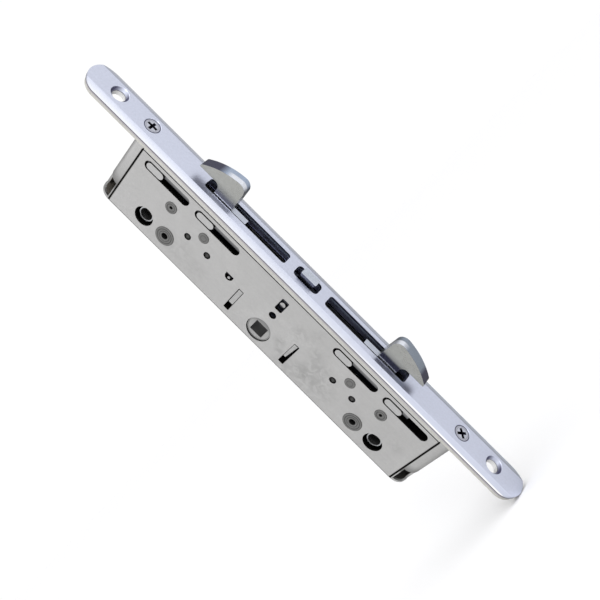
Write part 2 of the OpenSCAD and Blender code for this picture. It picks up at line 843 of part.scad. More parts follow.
faceplate();
backing_plate();
case_base();
case_cover();
end_block(1);  // end_block_upper
end_block(-1);  // end_block_lower
face_screw(1);  // face_screw_upper
face_screw(-1);  // face_screw_lower
handle_post(1);  // handle_post_upper
handle_post(-1);  // handle_post_lower
big_rivet(1);  // big_rivet_upper
big_rivet(-1);  // big_rivet_lower
cover_rivet(1);  // cover_rivet_upper
cover_rivet(-1);  // cover_rivet_lower
hook_pivot(1);  // hook_pivot_upper
hook_pivot(-1);  // hook_pivot_lower
pivot_washers();
hook_pad(1);  // hook_pad_upper
hook_pad(-1);  // hook_pad_lower
pad_rivets();
spring_carrier();
detent_spring(1);  // detent_spring_upper
detent_spring(-1);  // detent_spring_lower
plunger_guide();
plunger();
plunger_pin();
plunger_spring();
follower();
front_drive_bar();
rear_drive_bar();
guide_boss(0);  // guide_boss_1
guide_boss(1);  // guide_boss_2
guide_boss(2);  // guide_boss_3
guide_boss(3);  // guide_boss_4
bar_rivet(0);  // bar_rivet_upper
bar_rivet(3);  // bar_rivet_lower
upper_hook();
hook_pin(1);  // upper_hook_pin
lower_hook();
hook_pin(-1);  // lower_hook_pin
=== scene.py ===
import json
import math

import bpy
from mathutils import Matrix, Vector

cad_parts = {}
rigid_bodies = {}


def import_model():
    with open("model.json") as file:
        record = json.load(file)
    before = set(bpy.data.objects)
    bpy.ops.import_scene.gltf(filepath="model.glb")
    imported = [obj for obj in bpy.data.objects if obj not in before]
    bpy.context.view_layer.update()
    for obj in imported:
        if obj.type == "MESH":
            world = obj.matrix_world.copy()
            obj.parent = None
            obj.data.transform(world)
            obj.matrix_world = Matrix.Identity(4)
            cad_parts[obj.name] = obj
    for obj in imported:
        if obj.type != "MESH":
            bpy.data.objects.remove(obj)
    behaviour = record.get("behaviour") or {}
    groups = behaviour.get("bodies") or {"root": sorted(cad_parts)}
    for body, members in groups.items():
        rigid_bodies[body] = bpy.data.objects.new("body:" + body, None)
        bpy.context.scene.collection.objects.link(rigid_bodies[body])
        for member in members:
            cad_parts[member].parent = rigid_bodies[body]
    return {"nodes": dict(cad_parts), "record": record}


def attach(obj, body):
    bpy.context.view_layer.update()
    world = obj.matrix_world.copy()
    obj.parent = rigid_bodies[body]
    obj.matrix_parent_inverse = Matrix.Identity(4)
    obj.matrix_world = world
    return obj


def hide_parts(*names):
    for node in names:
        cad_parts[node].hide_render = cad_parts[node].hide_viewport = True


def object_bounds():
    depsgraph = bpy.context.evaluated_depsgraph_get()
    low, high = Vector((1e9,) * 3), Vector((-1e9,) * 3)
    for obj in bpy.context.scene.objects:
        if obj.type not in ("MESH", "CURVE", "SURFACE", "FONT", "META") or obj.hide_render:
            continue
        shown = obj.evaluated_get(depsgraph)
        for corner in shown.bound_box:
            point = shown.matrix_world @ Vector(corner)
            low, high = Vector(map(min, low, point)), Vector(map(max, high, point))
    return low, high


bl_info = {
    "name": "Two-hook door lock",
    "version": (1, 0, 0),
    "blender": (4, 5, 0),
    "location": "3D View > Sidebar > Door lock",
    "description": "Dresses the packed frame of a two-hook mortise lock with finished pieces and metals",
    "category": "Object",
}

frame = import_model()
CAD_BOX = [list(corner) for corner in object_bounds()]
NODES = frame["nodes"]
MM = 0.001

# Places of the lock, in millimetres, as in the part's source
FACE_T, BACK_T, FACE_HALF_W, FACE_HALF_LEN = 2.2, 2.7, 11.0, 153.5
LAND_HALF_W, BEVEL_DROP = 7.0, 1.8
SPINDLE_X, PIVOT_X, PIVOT_Z = -43.0, -23.3, 53.3
BIG_RIVET = (-42.6, 70.0)
COVER_RIVET = (-24.2, 76.4)
HANDLE_POST = (-42.9, 85.2)
PAD_RIVET_X, PAD_RIVET_HALF_GAP = -30.7, 7.05
FACE_SCREW_Z, DOOR_HOLE_Z = 110.8, 133.8
SEAM_Z, SKIN, INSIDE = 106.2, 8.0, 6.5
HOOK_SLOT_Z, HOOK_SLOT_LEN, PLUNGER_SLOT_LEN, SLOT_W = 42.75, 57.0, 16.5, 8.3
HUB_R, POST_R, SHANK_R = 7.4, 4.45, 1.6
BIG_HEAD_R, COVER_HEAD_R, PIVOT_HEAD_R = 5.8, 3.6, 3.2

# What the dressed pieces add to that source
BACK_INSET = 0.5
DOOR_HOLE_R, SCREW_HOLE_R, HOLE_MIDDLE, HOLE_DEPTH = 3.8, 1.9, -2.5, 8
FOLD_LINE = (-8.8, -8.2)

# Sunk edges: x of the middle, radius at the back, depth, radius at the front
SCREW_SINK, DOOR_HOLE_SINK = (-1.2, 1.7, 4, 5.7), (-0.5, 3.75, 2.0, 5.75)

# Outlines of turned pieces: radius and distance along the axis
SCREW_HEAD = ((SHANK_R, -3.45), (4.75, -0.32), (4.97, -0.2), (4.85, -0.08), (4.2, -0.03), (2.6, -0.015))
PIVOT_STUD = ((1.2, -8.35), (2.9, -8.32), (PIVOT_HEAD_R, -8.15), (PIVOT_HEAD_R, -SKIN), (2.5, -SKIN),
    (2.5, SKIN), (PIVOT_HEAD_R, SKIN), (PIVOT_HEAD_R, 8.12), (3.0, 8.28), (2.2, 8.35), (1.0, 8.33))
PAD_RIVET = ((1.1, 3.7), (1.1, 6.5), (1.5, 6.5), (1.5, 7.6), (1.35, 7.82), (0.9, 7.9), (0.75, 7.72),
    (0.3, 7.7))

# Directions that a distance is measured across, and places it is measured from
ROUND_Y, ROUND_X = (1, 0, 1), (0, 1, 1)
ACROSS, UPRIGHT = (0, 1, 0), (0, 0, 1)
MIDDLE = (0, 0, 0)

SILVER = (0.60, 0.63, 0.75)
# The nylon's black, also painted as shade where the hooks and the plunger go below the faceplate's face
NAVY_BLACK = (0.012, 0.014, 0.022)
# Nearly black, painted as shade deep in the handle posts' bores
PAINTED_BORE_SHADE = (0.012, 0.012, 0.012)
GRAIN_DEPTH = 0.00004

# Cloudy marks on the cover: x and z of the middle, reach, share of the metal's colour that is left
SMUDGES = (
    (-41, -43, 15, 0.82), (-43, -33, 10, 0.76), (-24, -17, 7, 0.8), (-34, -38, 11, 0.84),
    (-27, -31, 7, 0.85), (-38, -12, 5, 0.82), (-43, -15.5, 4, 0.76), (-43, 58, 11, 0.88),
    (-16, -25, 6, 0.88), (-34, -95, 7, 0.9), (-50, -24, 12, 0.88), (-44, 45, 9, 0.9))

# The stage: the room's brighter and darker sides are azimuth in degrees, sharpness and strength
CAMERA_DEGREES = (88.6934, 45.2267, 42.4910)
FLOOR_SIZE, FLOOR_COLOUR = 12, (0.93, 0.93, 0.94)
ROOM_LOBES = ((-5, 4.0, 0.3), (125, 3.0, -0.65))
PANEL_PLACE = (0.55, -0.5, 0.3)


# Selecting and editing
# ---------------------


def clear_selection():
    """Deselects every object, because an operator acts on all that is selected."""
    if bpy.context.mode != "OBJECT":
        bpy.ops.object.mode_set(mode="OBJECT")
    bpy.ops.object.select_all(action="DESELECT")


def take(piece):
    """Makes piece the only selected and the active object."""
    clear_selection()
    piece.select_set(True)
    bpy.context.view_layer.objects.active = piece


def added(name):
    """Names the object that was just added, and returns it."""
    piece = bpy.context.active_object
    piece.name = name
    return piece


def edit_all(piece, mode="VERT"):
    """Edits the piece with all of its mesh selected."""
    take(piece)
    bpy.ops.object.mode_set(mode="EDIT")
    bpy.ops.mesh.select_mode(type=mode)
    bpy.ops.mesh.select_all(action="SELECT")


def leave_edit():
    bpy.ops.object.mode_set(mode="OBJECT")


def pick(piece, kind, test):
    """Selects only the vertices, edges or polygons of piece that pass the test, then edits it."""
    take(piece)
    mesh = piece.data
    for group in (mesh.vertices, mesh.edges, mesh.polygons):
        group.foreach_set("select", [False] * len(group))
    for item in getattr(mesh, kind):
        item.select = test(item)
    modes = {"vertices": "VERT", "edges": "EDGE", "polygons": "FACE"}
    bpy.ops.object.mode_set(mode="EDIT")
    bpy.ops.mesh.select_mode(type=modes[kind])


def settle(piece):
    """Puts the piece's place into its mesh, so that its object sits at the origin."""
    take(piece)
    bpy.ops.object.transform_apply(location=True, rotation=True, scale=True)
    return piece


# Primitives in millimetres
# -------------------------


def box(name, low, high):
    clear_selection()
    centre = [(a + b) / 2 * MM for a, b in zip(low, high)]
    size = [(b - a) * MM for a, b in zip(low, high)]
    bpy.ops.mesh.primitive_cube_add(size=1, location=centre, scale=size)
    return settle(added(name))


TURN = {"x": (0, math.pi / 2, 0), "-y": (math.pi / 2, 0, 0)}


def rod(name, centre, radius, length, end_radius=None, sides=96):
    """A round bar along X, or a cone where end_radius is given, with its middle at centre."""
    clear_selection()
    spot = [c * MM for c in centre]
    if end_radius is None:
        bpy.ops.mesh.primitive_cylinder_add(vertices=sides, radius=radius * MM,
            depth=length * MM, location=spot, rotation=TURN["x"])
    else:
        bpy.ops.mesh.primitive_cone_add(vertices=sides, radius1=radius * MM,
            radius2=end_radius * MM, depth=length * MM, location=spot, rotation=TURN["x"])
    return settle(added(name))


def cone(name, z, shape):
    """A cutter that sinks the front edge of a hole in the faceplate."""
    x, back_radius, depth, front_radius = shape
    return rod(name, (x, 0, z), back_radius, depth, front_radius)


def turned(name, centre, axis, rings, bored=False, sides=72):
    """A solid of revolution, extruded ring by ring. rings are (radius, distance along axis), in
    millimetres, from centre. A bored one goes round its wall and ends on its first ring."""
    clear_selection()
    radius, along = rings[0]
    bpy.ops.mesh.primitive_circle_add(vertices=sides, radius=radius * MM,
        location=(0, 0, along * MM), fill_type="NOTHING" if bored else "NGON")
    piece = settle(added(name))
    edit_all(piece, "EDGE" if bored else "FACE")
    for new_radius, new_along in rings[1:]:
        bpy.ops.mesh.extrude_region_move(
            TRANSFORM_OT_translate={"value": (0, 0, (new_along - along) * MM)})
        share = new_radius / radius
        if abs(share - 1) > 1e-9:
            bpy.ops.transform.resize(value=(share, share, 1), center_override=(0, 0, new_along * MM))
        radius, along = new_radius, new_along
    bpy.ops.mesh.select_all(action="SELECT")
    bpy.ops.mesh.remove_doubles(threshold=1e-7)
    bpy.ops.mesh.normals_make_consistent(inside=False)
    leave_edit()
    piece.rotation_euler = TURN[axis]
    piece.location = [c * MM for c in centre]
    return settle(piece)


def apply_step(piece, name, kind, **settings):
    """Adds a modifier with these settings, and applies it."""
    take(piece)
    step = piece.modifiers.new(name, kind)
    for key, value in settings.items():
        setattr(step, key, value)
    bpy.ops.object.modifier_apply(modifier=step.name)


def combine(piece, other, how="DIFFERENCE"):
    """Cuts other out of piece, or joins it on where how is UNION, and removes other."""
    apply_step(piece, how.lower(), "BOOLEAN", operation=how, solver="EXACT", object=other)
    mesh = other.data
    bpy.data.objects.remove(other)
    bpy.data.meshes.remove(mesh)
    return piece


def rounded_slot(name, centre_z, width, length, corner, x0, x1):
    """A cutter for a long opening with rounded corners, through the faceplate."""
    piece = box(name, (x0, -width / 2, centre_z - length / 2), (x1, width / 2, centre_z + length / 2))
    pick(piece, "edges", lambda e: abs(piece.data.vertices[e.vertices[0]].co.x
        - piece.data.vertices[e.vertices[1]].co.x) > 1e-6)
    bpy.ops.mesh.bevel(offset=corner * MM, segments=8, affect="EDGES")
    leave_edit()
    return piece


def stadium(name, half_w, half_len, x0, x1, sides=128):
    """A plate with half-round ends, its long side along Z."""
    clear_selection()
    bpy.ops.mesh.primitive_cylinder_add(vertices=sides, radius=half_w * MM, depth=(x1 - x0) * MM,
        location=((x0 + x1) / 2 * MM, 0, 0), rotation=(math.pi / sides, math.pi / 2, 0))
    piece = settle(added(name))
    for side in (1, -1):
        pick(piece, "vertices", lambda v: v.co.z * side > 0)
        bpy.ops.transform.translate(value=(0, 0, side * (half_len - half_w) * MM))
        leave_edit()
    return piece


def soften(piece, width, segments=2, angle=32, smooth=38):
    """Rounds the piece's hard edges, and shades it smooth across soft ones."""
    if width:
        apply_step(piece, "soft edges", "BEVEL", width=width * MM, segments=segments,
            limit_method="ANGLE", angle_limit=math.radians(angle), use_clamp_overlap=True,
            miter_outer="MITER_ARC")
    take(piece)
    bpy.ops.object.shade_smooth_by_angle(angle=math.radians(smooth))
    apply_step(piece, "flat faces stay flat", "WEIGHTED_NORMAL", keep_sharp=True)
    return piece


def softened_copy(name, node, width, segments=2, shape=None):
    """A copy of a CAD node whose loose triangles are merged into clean faces, reshaped where shape is
    given, and then rounded at its edges."""
    take(NODES[node])
    bpy.ops.object.duplicate(linked=False)
    piece = added(name)
    bpy.ops.object.parent_clear(type="CLEAR_KEEP_TRANSFORM")
    piece.hide_render = False
    merge_faces(settle(piece))
    if shape:
        shape(piece)
        merge_faces(piece)
    return soften(piece, width, segments)


def merge_faces(piece):
    """Merges doubled points and the faces that lie in one plane."""
    edit_all(piece)
    bpy.ops.mesh.remove_doubles(threshold=2e-6)
    bpy.ops.mesh.dissolve_limited(angle_limit=math.radians(0.6))
    bpy.ops.mesh.normals_make_consistent(inside=False)
    leave_edit()


# Materials
# ---------


def group_of(name, inputs, outputs):
    """An empty shader node group with its input node and its output node. inputs are sockets with
    their constants, which are numbers or vectors, and all the outputs are numbers."""
    tree = bpy.data.node_groups.new(name, "ShaderNodeTree")
    for label, default in inputs.items():
        kind = "NodeSocketFloat" if isinstance(default, float) else "NodeSocketVector"
        socket = tree.interface.new_socket(name=label, in_out="INPUT", socket_type=kind)
        if default is not None:
            socket.default_value = default
    for label in outputs:
        tree.interface.new_socket(name=label, in_out="OUTPUT", socket_type="NodeSocketFloat")
    return tree, tree.nodes.new("NodeGroupInput"), tree.nodes.new("NodeGroupOutput")


def feed(tree, socket, value):
    """Links the socket to another node's socket, or sets it where value is a constant."""
    if isinstance(value, bpy.types.NodeSocket):
        tree.links.new(value, socket)
    else:
        socket.default_value = value


def operate(tree, kind, operation, values):
    node = tree.nodes.new(kind)
    node.operation = operation
    for socket, value in zip(node.inputs, values):
        feed(tree, socket, value)
    return node


def maths(tree, operation, *values, clamp=False):
    node = operate(tree, "ShaderNodeMath", operation, values)
    node.use_clamp = clamp
    return node.outputs[0]


def vectors(tree, operation, *values):
    """Vector maths, which gives a vector, or a number for a length or a dot product."""
    node = operate(tree, "ShaderNodeVectorMath", operation, values)
    return node.outputs["Value" if operation in ("LENGTH", "DOT_PRODUCT") else "Vector"]


def split(tree, vector):
    """The X, Y and Z of a vector."""
    parts = tree.nodes.new("ShaderNodeSeparateXYZ")
    tree.links.new(vector, parts.inputs[0])
    return parts.outputs


def noise(tree, vector, **values):
    node = tree.nodes.new("ShaderNodeTexNoise")
    for key, value in values.items():
        feed(tree, node.inputs[key], value)
    tree.links.new(vector, node.inputs["Vector"])
    return node.outputs[0]


def make_grain_group():
    """Fine lengthwise drawing lines over small blotches, as on rolled or brushed metal."""
    tree, source, sink = group_of("Metal grain", {"Vector": None, "Line scale": 900.0,
        "Stretch": (1.0, 1.0, 0.03), "Blotch scale": 60.0}, ("Lines", "Blotches", "Height"))
    place = source.outputs["Vector"]
    stretched = vectors(tree, "MULTIPLY", place, source.outputs["Stretch"])
    lines = noise(tree, stretched, Scale=source.outputs["Line scale"], Detail=4.0, Roughness=0.62)
    blotches = noise(tree, place, Scale=source.outputs["Blotch scale"], Detail=5.0, Roughness=0.6,
        Distortion=0.6)
    fine = noise(tree, place, Scale=5200.0, Detail=2.0)
    height = maths(tree, "ADD", maths(tree, "MULTIPLY", lines, 0.7), maths(tree, "MULTIPLY", fine, 0.3))
    for value, socket in zip((lines, blotches, height), sink.inputs):
        tree.links.new(value, socket)
    return tree


def make_wear_group():
    """A mask of the edges, broken up by noise, where plating rubs thin and bright."""
    tree, source, sink = group_of("Edge wear", {"Vector": None, "Breakup": 700.0, "Amount": 0.5},
        ("Mask",))
    geometry = tree.nodes.new("ShaderNodeNewGeometry")
    edge = graded(tree, geometry.outputs["Pointiness"], 0.505, 0.58)
    breakup = noise(tree, source.outputs["Vector"], Scale=source.outputs["Breakup"], Detail=6.0,
        Roughness=0.7)
    rubbed = maths(tree, "MULTIPLY", edge, graded(tree, breakup, 0.35, 0.65))
    tree.links.new(maths(tree, "MULTIPLY", rubbed, source.outputs["Amount"], clamp=True), sink.inputs["Mask"])
    return tree


def make_speckle_group():
    """Sparse small marks, such as dust, pits and dried drops."""
    tree, source, sink = group_of("Specks", {"Vector": None, "Scale": 420.0, "Amount": 0.4}, ("Mask",))
    link = tree.links.new
    cells = tree.nodes.new("ShaderNodeTexVoronoi")
    link(source.outputs["Vector"], cells.inputs["Vector"])
    link(source.outputs["Scale"], cells.inputs["Scale"])
    dots = graded(tree, cells.outputs["Distance"], 0.16, 0.05)
    patches = noise(tree, source.outputs["Vector"], Scale=90.0, Detail=3.0)
    sparse = maths(tree, "MULTIPLY", dots, graded(tree, patches, 0.5, 0.66))
    link(maths(tree, "MULTIPLY", sparse, source.outputs["Amount"], clamp=True), sink.inputs["Mask"])
    return tree


def make_distance_group():
    """How far a point is from an axis, in millimetres. Flatten drops the direction of the axis, and
    both ends of the lock count as one, because the distance is measured at the size of Z."""
    tree, source, sink = group_of("Distance from axis",
        {"Vector": None, "Flatten": (1.0, 0.0, 1.0), "Centre": (0.0, 0.0, 0.0)}, ("Distance",))
    link = tree.links.new
    x, y, z = split(tree, source.outputs["Vector"])
    folded = tree.nodes.new("ShaderNodeCombineXYZ")
    for value, socket in zip((x, y, maths(tree, "ABSOLUTE", z)), folded.inputs):
        link(value, socket)
    offset = vectors(tree, "SUBTRACT", folded.outputs[0], source.outputs["Centre"])
    far = vectors(tree, "LENGTH", vectors(tree, "MULTIPLY", offset, source.outputs["Flatten"]))
    link(maths(tree, "MULTIPLY", far, 1 / MM), sink.inputs["Distance"])
    return tree


GROUPS = {}


def effect(tree, name, vector, **values):
    node = tree.nodes.new("ShaderNodeGroup")
    node.node_tree = GROUPS[name]
    tree.links.new(vector, node.inputs["Vector"])
    for key, value in values.items():
        node.inputs[key.replace("_", " ")].default_value = value
    return node


def graded(tree, value, start, end):
    """A mask that goes from 0 at start to 1 at end."""
    node = tree.nodes.new("ShaderNodeMapRange")
    for key, given in (("From Min", start), ("From Max", end), ("Value", value)):
        feed(tree, node.inputs[key], given)
    return node.outputs[0]


def along(axis, start, end):
    """Grades along one axis, in millimetres."""
    def mask(tree, place):
        return graded(tree, maths(tree, "MULTIPLY", split(tree, place)[axis], 1 / MM), start, end)
    return mask


def away(centre, start, end, flatten=ROUND_Y):
    """Grades with the distance from an axis, which runs along Y unless flatten says otherwise."""
    def mask(tree, place):
        far = effect(tree, "distance", place, Flatten=flatten, Centre=[c * MM for c in centre])
        return graded(tree, far.outputs[0], start, end)
    return mask


def smudge(centre, reach):
    """A soft cloudy mark round one place, in millimetres, that isn't repeated at the other end."""
    def mask(tree, place):
        offset = vectors(tree, "SUBTRACT", place, [c * MM for c in centre])
        far = vectors(tree, "LENGTH", vectors(tree, "MULTIPLY", offset, ROUND_Y))
        near = graded(tree, far, reach * MM, 0)
        clouds = noise(tree, place, Scale=260.0, Detail=3.0, Distortion=0.8)
        return maths(tree, "MULTIPLY", near, graded(tree, clouds, 0.38, 0.6))
    return mask


def facing(axis, start, end):
    """Grades with how far a face looks along one axis of its piece."""
    def mask(tree, place):
        normal = tree.nodes.new("ShaderNodeTexCoord").outputs["Normal"]
        return graded(tree, maths(tree, "ABSOLUTE", split(tree, normal)[axis]), start, end)
    return mask


def square_about(centre_x, start, end):
    """Grades with the distance from the spindle's axis, measured squarely, in millimetres."""
    def mask(tree, place):
        x, _, z = split(tree, place)
        aside = maths(tree, "ABSOLUTE", maths(tree, "SUBTRACT", x, centre_x * MM))
        far = maths(tree, "MAXIMUM", aside, maths(tree, "ABSOLUTE", z))
        return graded(tree, maths(tree, "MULTIPLY", far, 1 / MM), start, end)
    return mask


def joined(operation, *masks):
    """Puts masks together with one maths operation."""
    def mask(tree, place):
        total = masks[0](tree, place)
        for other in masks[1:]:
            total = maths(tree, operation, total, other(tree, place))
        return total
    return mask


def both(*masks):
    """Where all of the masks are."""
    return joined("MULTIPLY", *masks)


def either(*masks):
    """Where any of the masks is."""
    return joined("MAXIMUM", *masks)


def ring(centre, inner, outer, soft=0.12, flatten=ROUND_Y):
    """A round band between two radii, in millimetres."""
    return both(away(centre, inner - soft, inner + soft, flatten),
        away(centre, outer + soft, outer - soft, flatten))


def blend_colour(tree, factor, a, b, how="MIX"):
    node = tree.nodes.new("ShaderNodeMix")
    node.data_type, node.blend_type = "RGBA", how
    feed(tree, node.inputs["Factor"], factor)
    for key, value in (("A", a), ("B", b)):
        opaque = value if isinstance(value, bpy.types.NodeSocket) else (*value, 1.0)
        feed(tree, node.inputs[key], opaque)
    return node.outputs["Result"]


def shade(colour, share):
    return tuple(c * share for c in colour)


def new_material(name):
    """A material with its node tree, its shader and its object coordinates."""
    material = bpy.data.materials.new(name)
    material.use_nodes = True
    tree = material.node_tree
    place = tree.nodes.new("ShaderNodeTexCoord").outputs["Object"]
    return material, tree, tree.nodes["Principled BSDF"], place


def emboss(tree, shader, grain, strength):
    """Raises the grain a little from the surface."""
    relief = tree.nodes.new("ShaderNodeBump")
    relief.inputs["Strength"].default_value = strength
    relief.inputs["Distance"].default_value = GRAIN_DEPTH
    tree.links.new(grain.outputs["Height"], relief.inputs["Height"])
    tree.links.new(relief.outputs[0], shader.inputs["Normal"])


def make_metal(name, colour, roughness, spread=0.12, dark=0.86, worn=1.35, stretch=(1, 1, 0.03),
        line_scale=900.0, blotch_scale=60.0, wear=0.5, specks=0.2, bump=0.05, paints=()):
    """A metal with grain, blotches, worn edges and specks. dark and worn scale its colour for the
    blotches and the rubbed edges, and spread is how far the roughness varies. paints are masks with
    the colour and the roughness that lie on them, from the lowest to the topmost. A roughness of None
    leaves the metal's own."""
    material, tree, shader, place = new_material(name)
    link = tree.links.new
    grain = effect(tree, "grain", place, Line_scale=line_scale, Stretch=stretch, Blotch_scale=blotch_scale)
    dots = effect(tree, "specks", place, Amount=specks).outputs["Mask"]
    edge = effect(tree, "wear", place, Amount=wear).outputs["Mask"]
    blotches = maths(tree, "MULTIPLY", graded(tree, grain.outputs["Blotches"], 0.35, 0.68), 0.55)
    lines = maths(tree, "MULTIPLY", graded(tree, grain.outputs["Lines"], 0.3, 0.7), 0.45)
    mixed = maths(tree, "ADD", blotches, lines, clamp=True)
    tint = blend_colour(tree, mixed, (dark, dark, dark), (1, 1, 1))
    base = blend_colour(tree, edge, colour, tuple(min(c * worn, 0.95) for c in colour))
    rough = maths(tree, "ADD", maths(tree, "MULTIPLY", mixed, spread), roughness - spread / 2)
    for mask, paint, gloss in paints:
        spread_on = mask(tree, place)
        base = blend_colour(tree, spread_on, base, paint)
        if gloss is not None:
            rough = maths(tree, "ADD", maths(tree, "MULTIPLY", spread_on, gloss - roughness), rough)
    toned = blend_colour(tree, 1.0, base, tint, "MULTIPLY")
    base = blend_colour(tree, dots, toned, shade(colour, 0.45))
    link(base, shader.inputs["Base Color"])
    shader.inputs["Metallic"].default_value = 1.0
    link(maths(tree, "ADD", rough, maths(tree, "MULTIPLY", dots, 0.25), clamp=True),
        shader.inputs["Roughness"])
    emboss(tree, shader, grain, bump)
    return material


def make_nylon(name, colour):
    """Moulded plastic with a fine spark-eroded texture."""
    material, tree, shader, place = new_material(name)
    link = tree.links.new
    grain = effect(tree, "grain", place, Line_scale=2600.0, Stretch=(1, 1, 1), Blotch_scale=150.0)
    edge = effect(tree, "wear", place, Amount=0.5)
    base = blend_colour(tree, grain.outputs["Blotches"], colour, [c * 1.6 for c in colour])
    base = blend_colour(tree, edge.outputs["Mask"], base, [c * 2.5 + 0.01 for c in colour])
    link(base, shader.inputs["Base Color"])
    link(maths(tree, "ADD", maths(tree, "MULTIPLY", grain.outputs["Lines"], 0.2), 0.45),
        shader.inputs["Roughness"])
    emboss(tree, shader, grain, 0.2)
    return material


MATERIALS = {}


def wear_material(piece, key):
    piece.data.materials.clear()
    piece.data.materials.append(MATERIALS[key])


def seat(piece, body, slot, *nodes, finish=None):
    """Gives the piece its material and its body, and hides the CAD nodes that it stands for."""
    wear_material(piece, finish or slot)
    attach(piece, body)
    if nodes:
        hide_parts(*nodes)
    return piece


# Settings
# --------


COLOUR = {"size": 3, "min": 0, "max": 1, "subtype": "COLOR"}
LENGTH = {"unit": "LENGTH", "precision": 5}


class LockSettings(bpy.types.PropertyGroup):
    edge_round: bpy.props.FloatProperty(name="Edge rounding",
        description="Rounding of the sheet metal's edges",
        default=0.25 * MM, min=0.05 * MM, max=0.5 * MM, **LENGTH)
    hook_round: bpy.props.FloatProperty(name="Hook rounding", description="Rounding of the hooks' edges",
        default=0.4 * MM, min=0.1 * MM, max=1.0 * MM, **LENGTH)
    face_colour: bpy.props.FloatVectorProperty(name="Faceplate",
        description="Colour of the silver faceplate", default=SILVER, **COLOUR)
    case_colour: bpy.props.FloatVectorProperty(name="Case", description="Colour of the plated case",
        default=(0.565, 0.562, 0.56), **COLOUR)
    hook_colour: bpy.props.FloatVectorProperty(name="Hooks", description="Colour of the plated hooks",
        default=(0.44, 0.445, 0.43), **COLOUR)
    rivet_colour: bpy.props.FloatVectorProperty(name="Rivets", description="Colour of the plain rivets",
        default=(0.24, 0.24, 0.237), **COLOUR)


class StageSettings(bpy.types.PropertyGroup):
    camera_place: bpy.props.FloatVectorProperty(name="Camera", description="Place of the camera",
        default=(0.36701, -0.40238, 0.00443), size=3, subtype="TRANSLATION", unit="LENGTH")
    camera_turn: bpy.props.FloatVectorProperty(name="Camera turn", description="Rotation of the camera",
        default=[math.radians(a) for a in CAMERA_DEGREES], size=3, subtype="EULER")
    lens: bpy.props.FloatProperty(name="Lens", description="Focal length of the camera in millimetres",
        default=64.31, min=20, max=200)
    floor_drop: bpy.props.FloatProperty(name="Floor gap",
        description="Gap between the lock's lower end and the floor", default=0.0005, **LENGTH)
    room_level: bpy.props.FloatProperty(name="Room light", description="Brightness of the white room",
        default=0.95, min=0, max=4)
    top_light: bpy.props.FloatProperty(name="Top light",
        description="Strength of the wide light straight above", default=0.75, min=0, max=10)


# Operators
# ---------


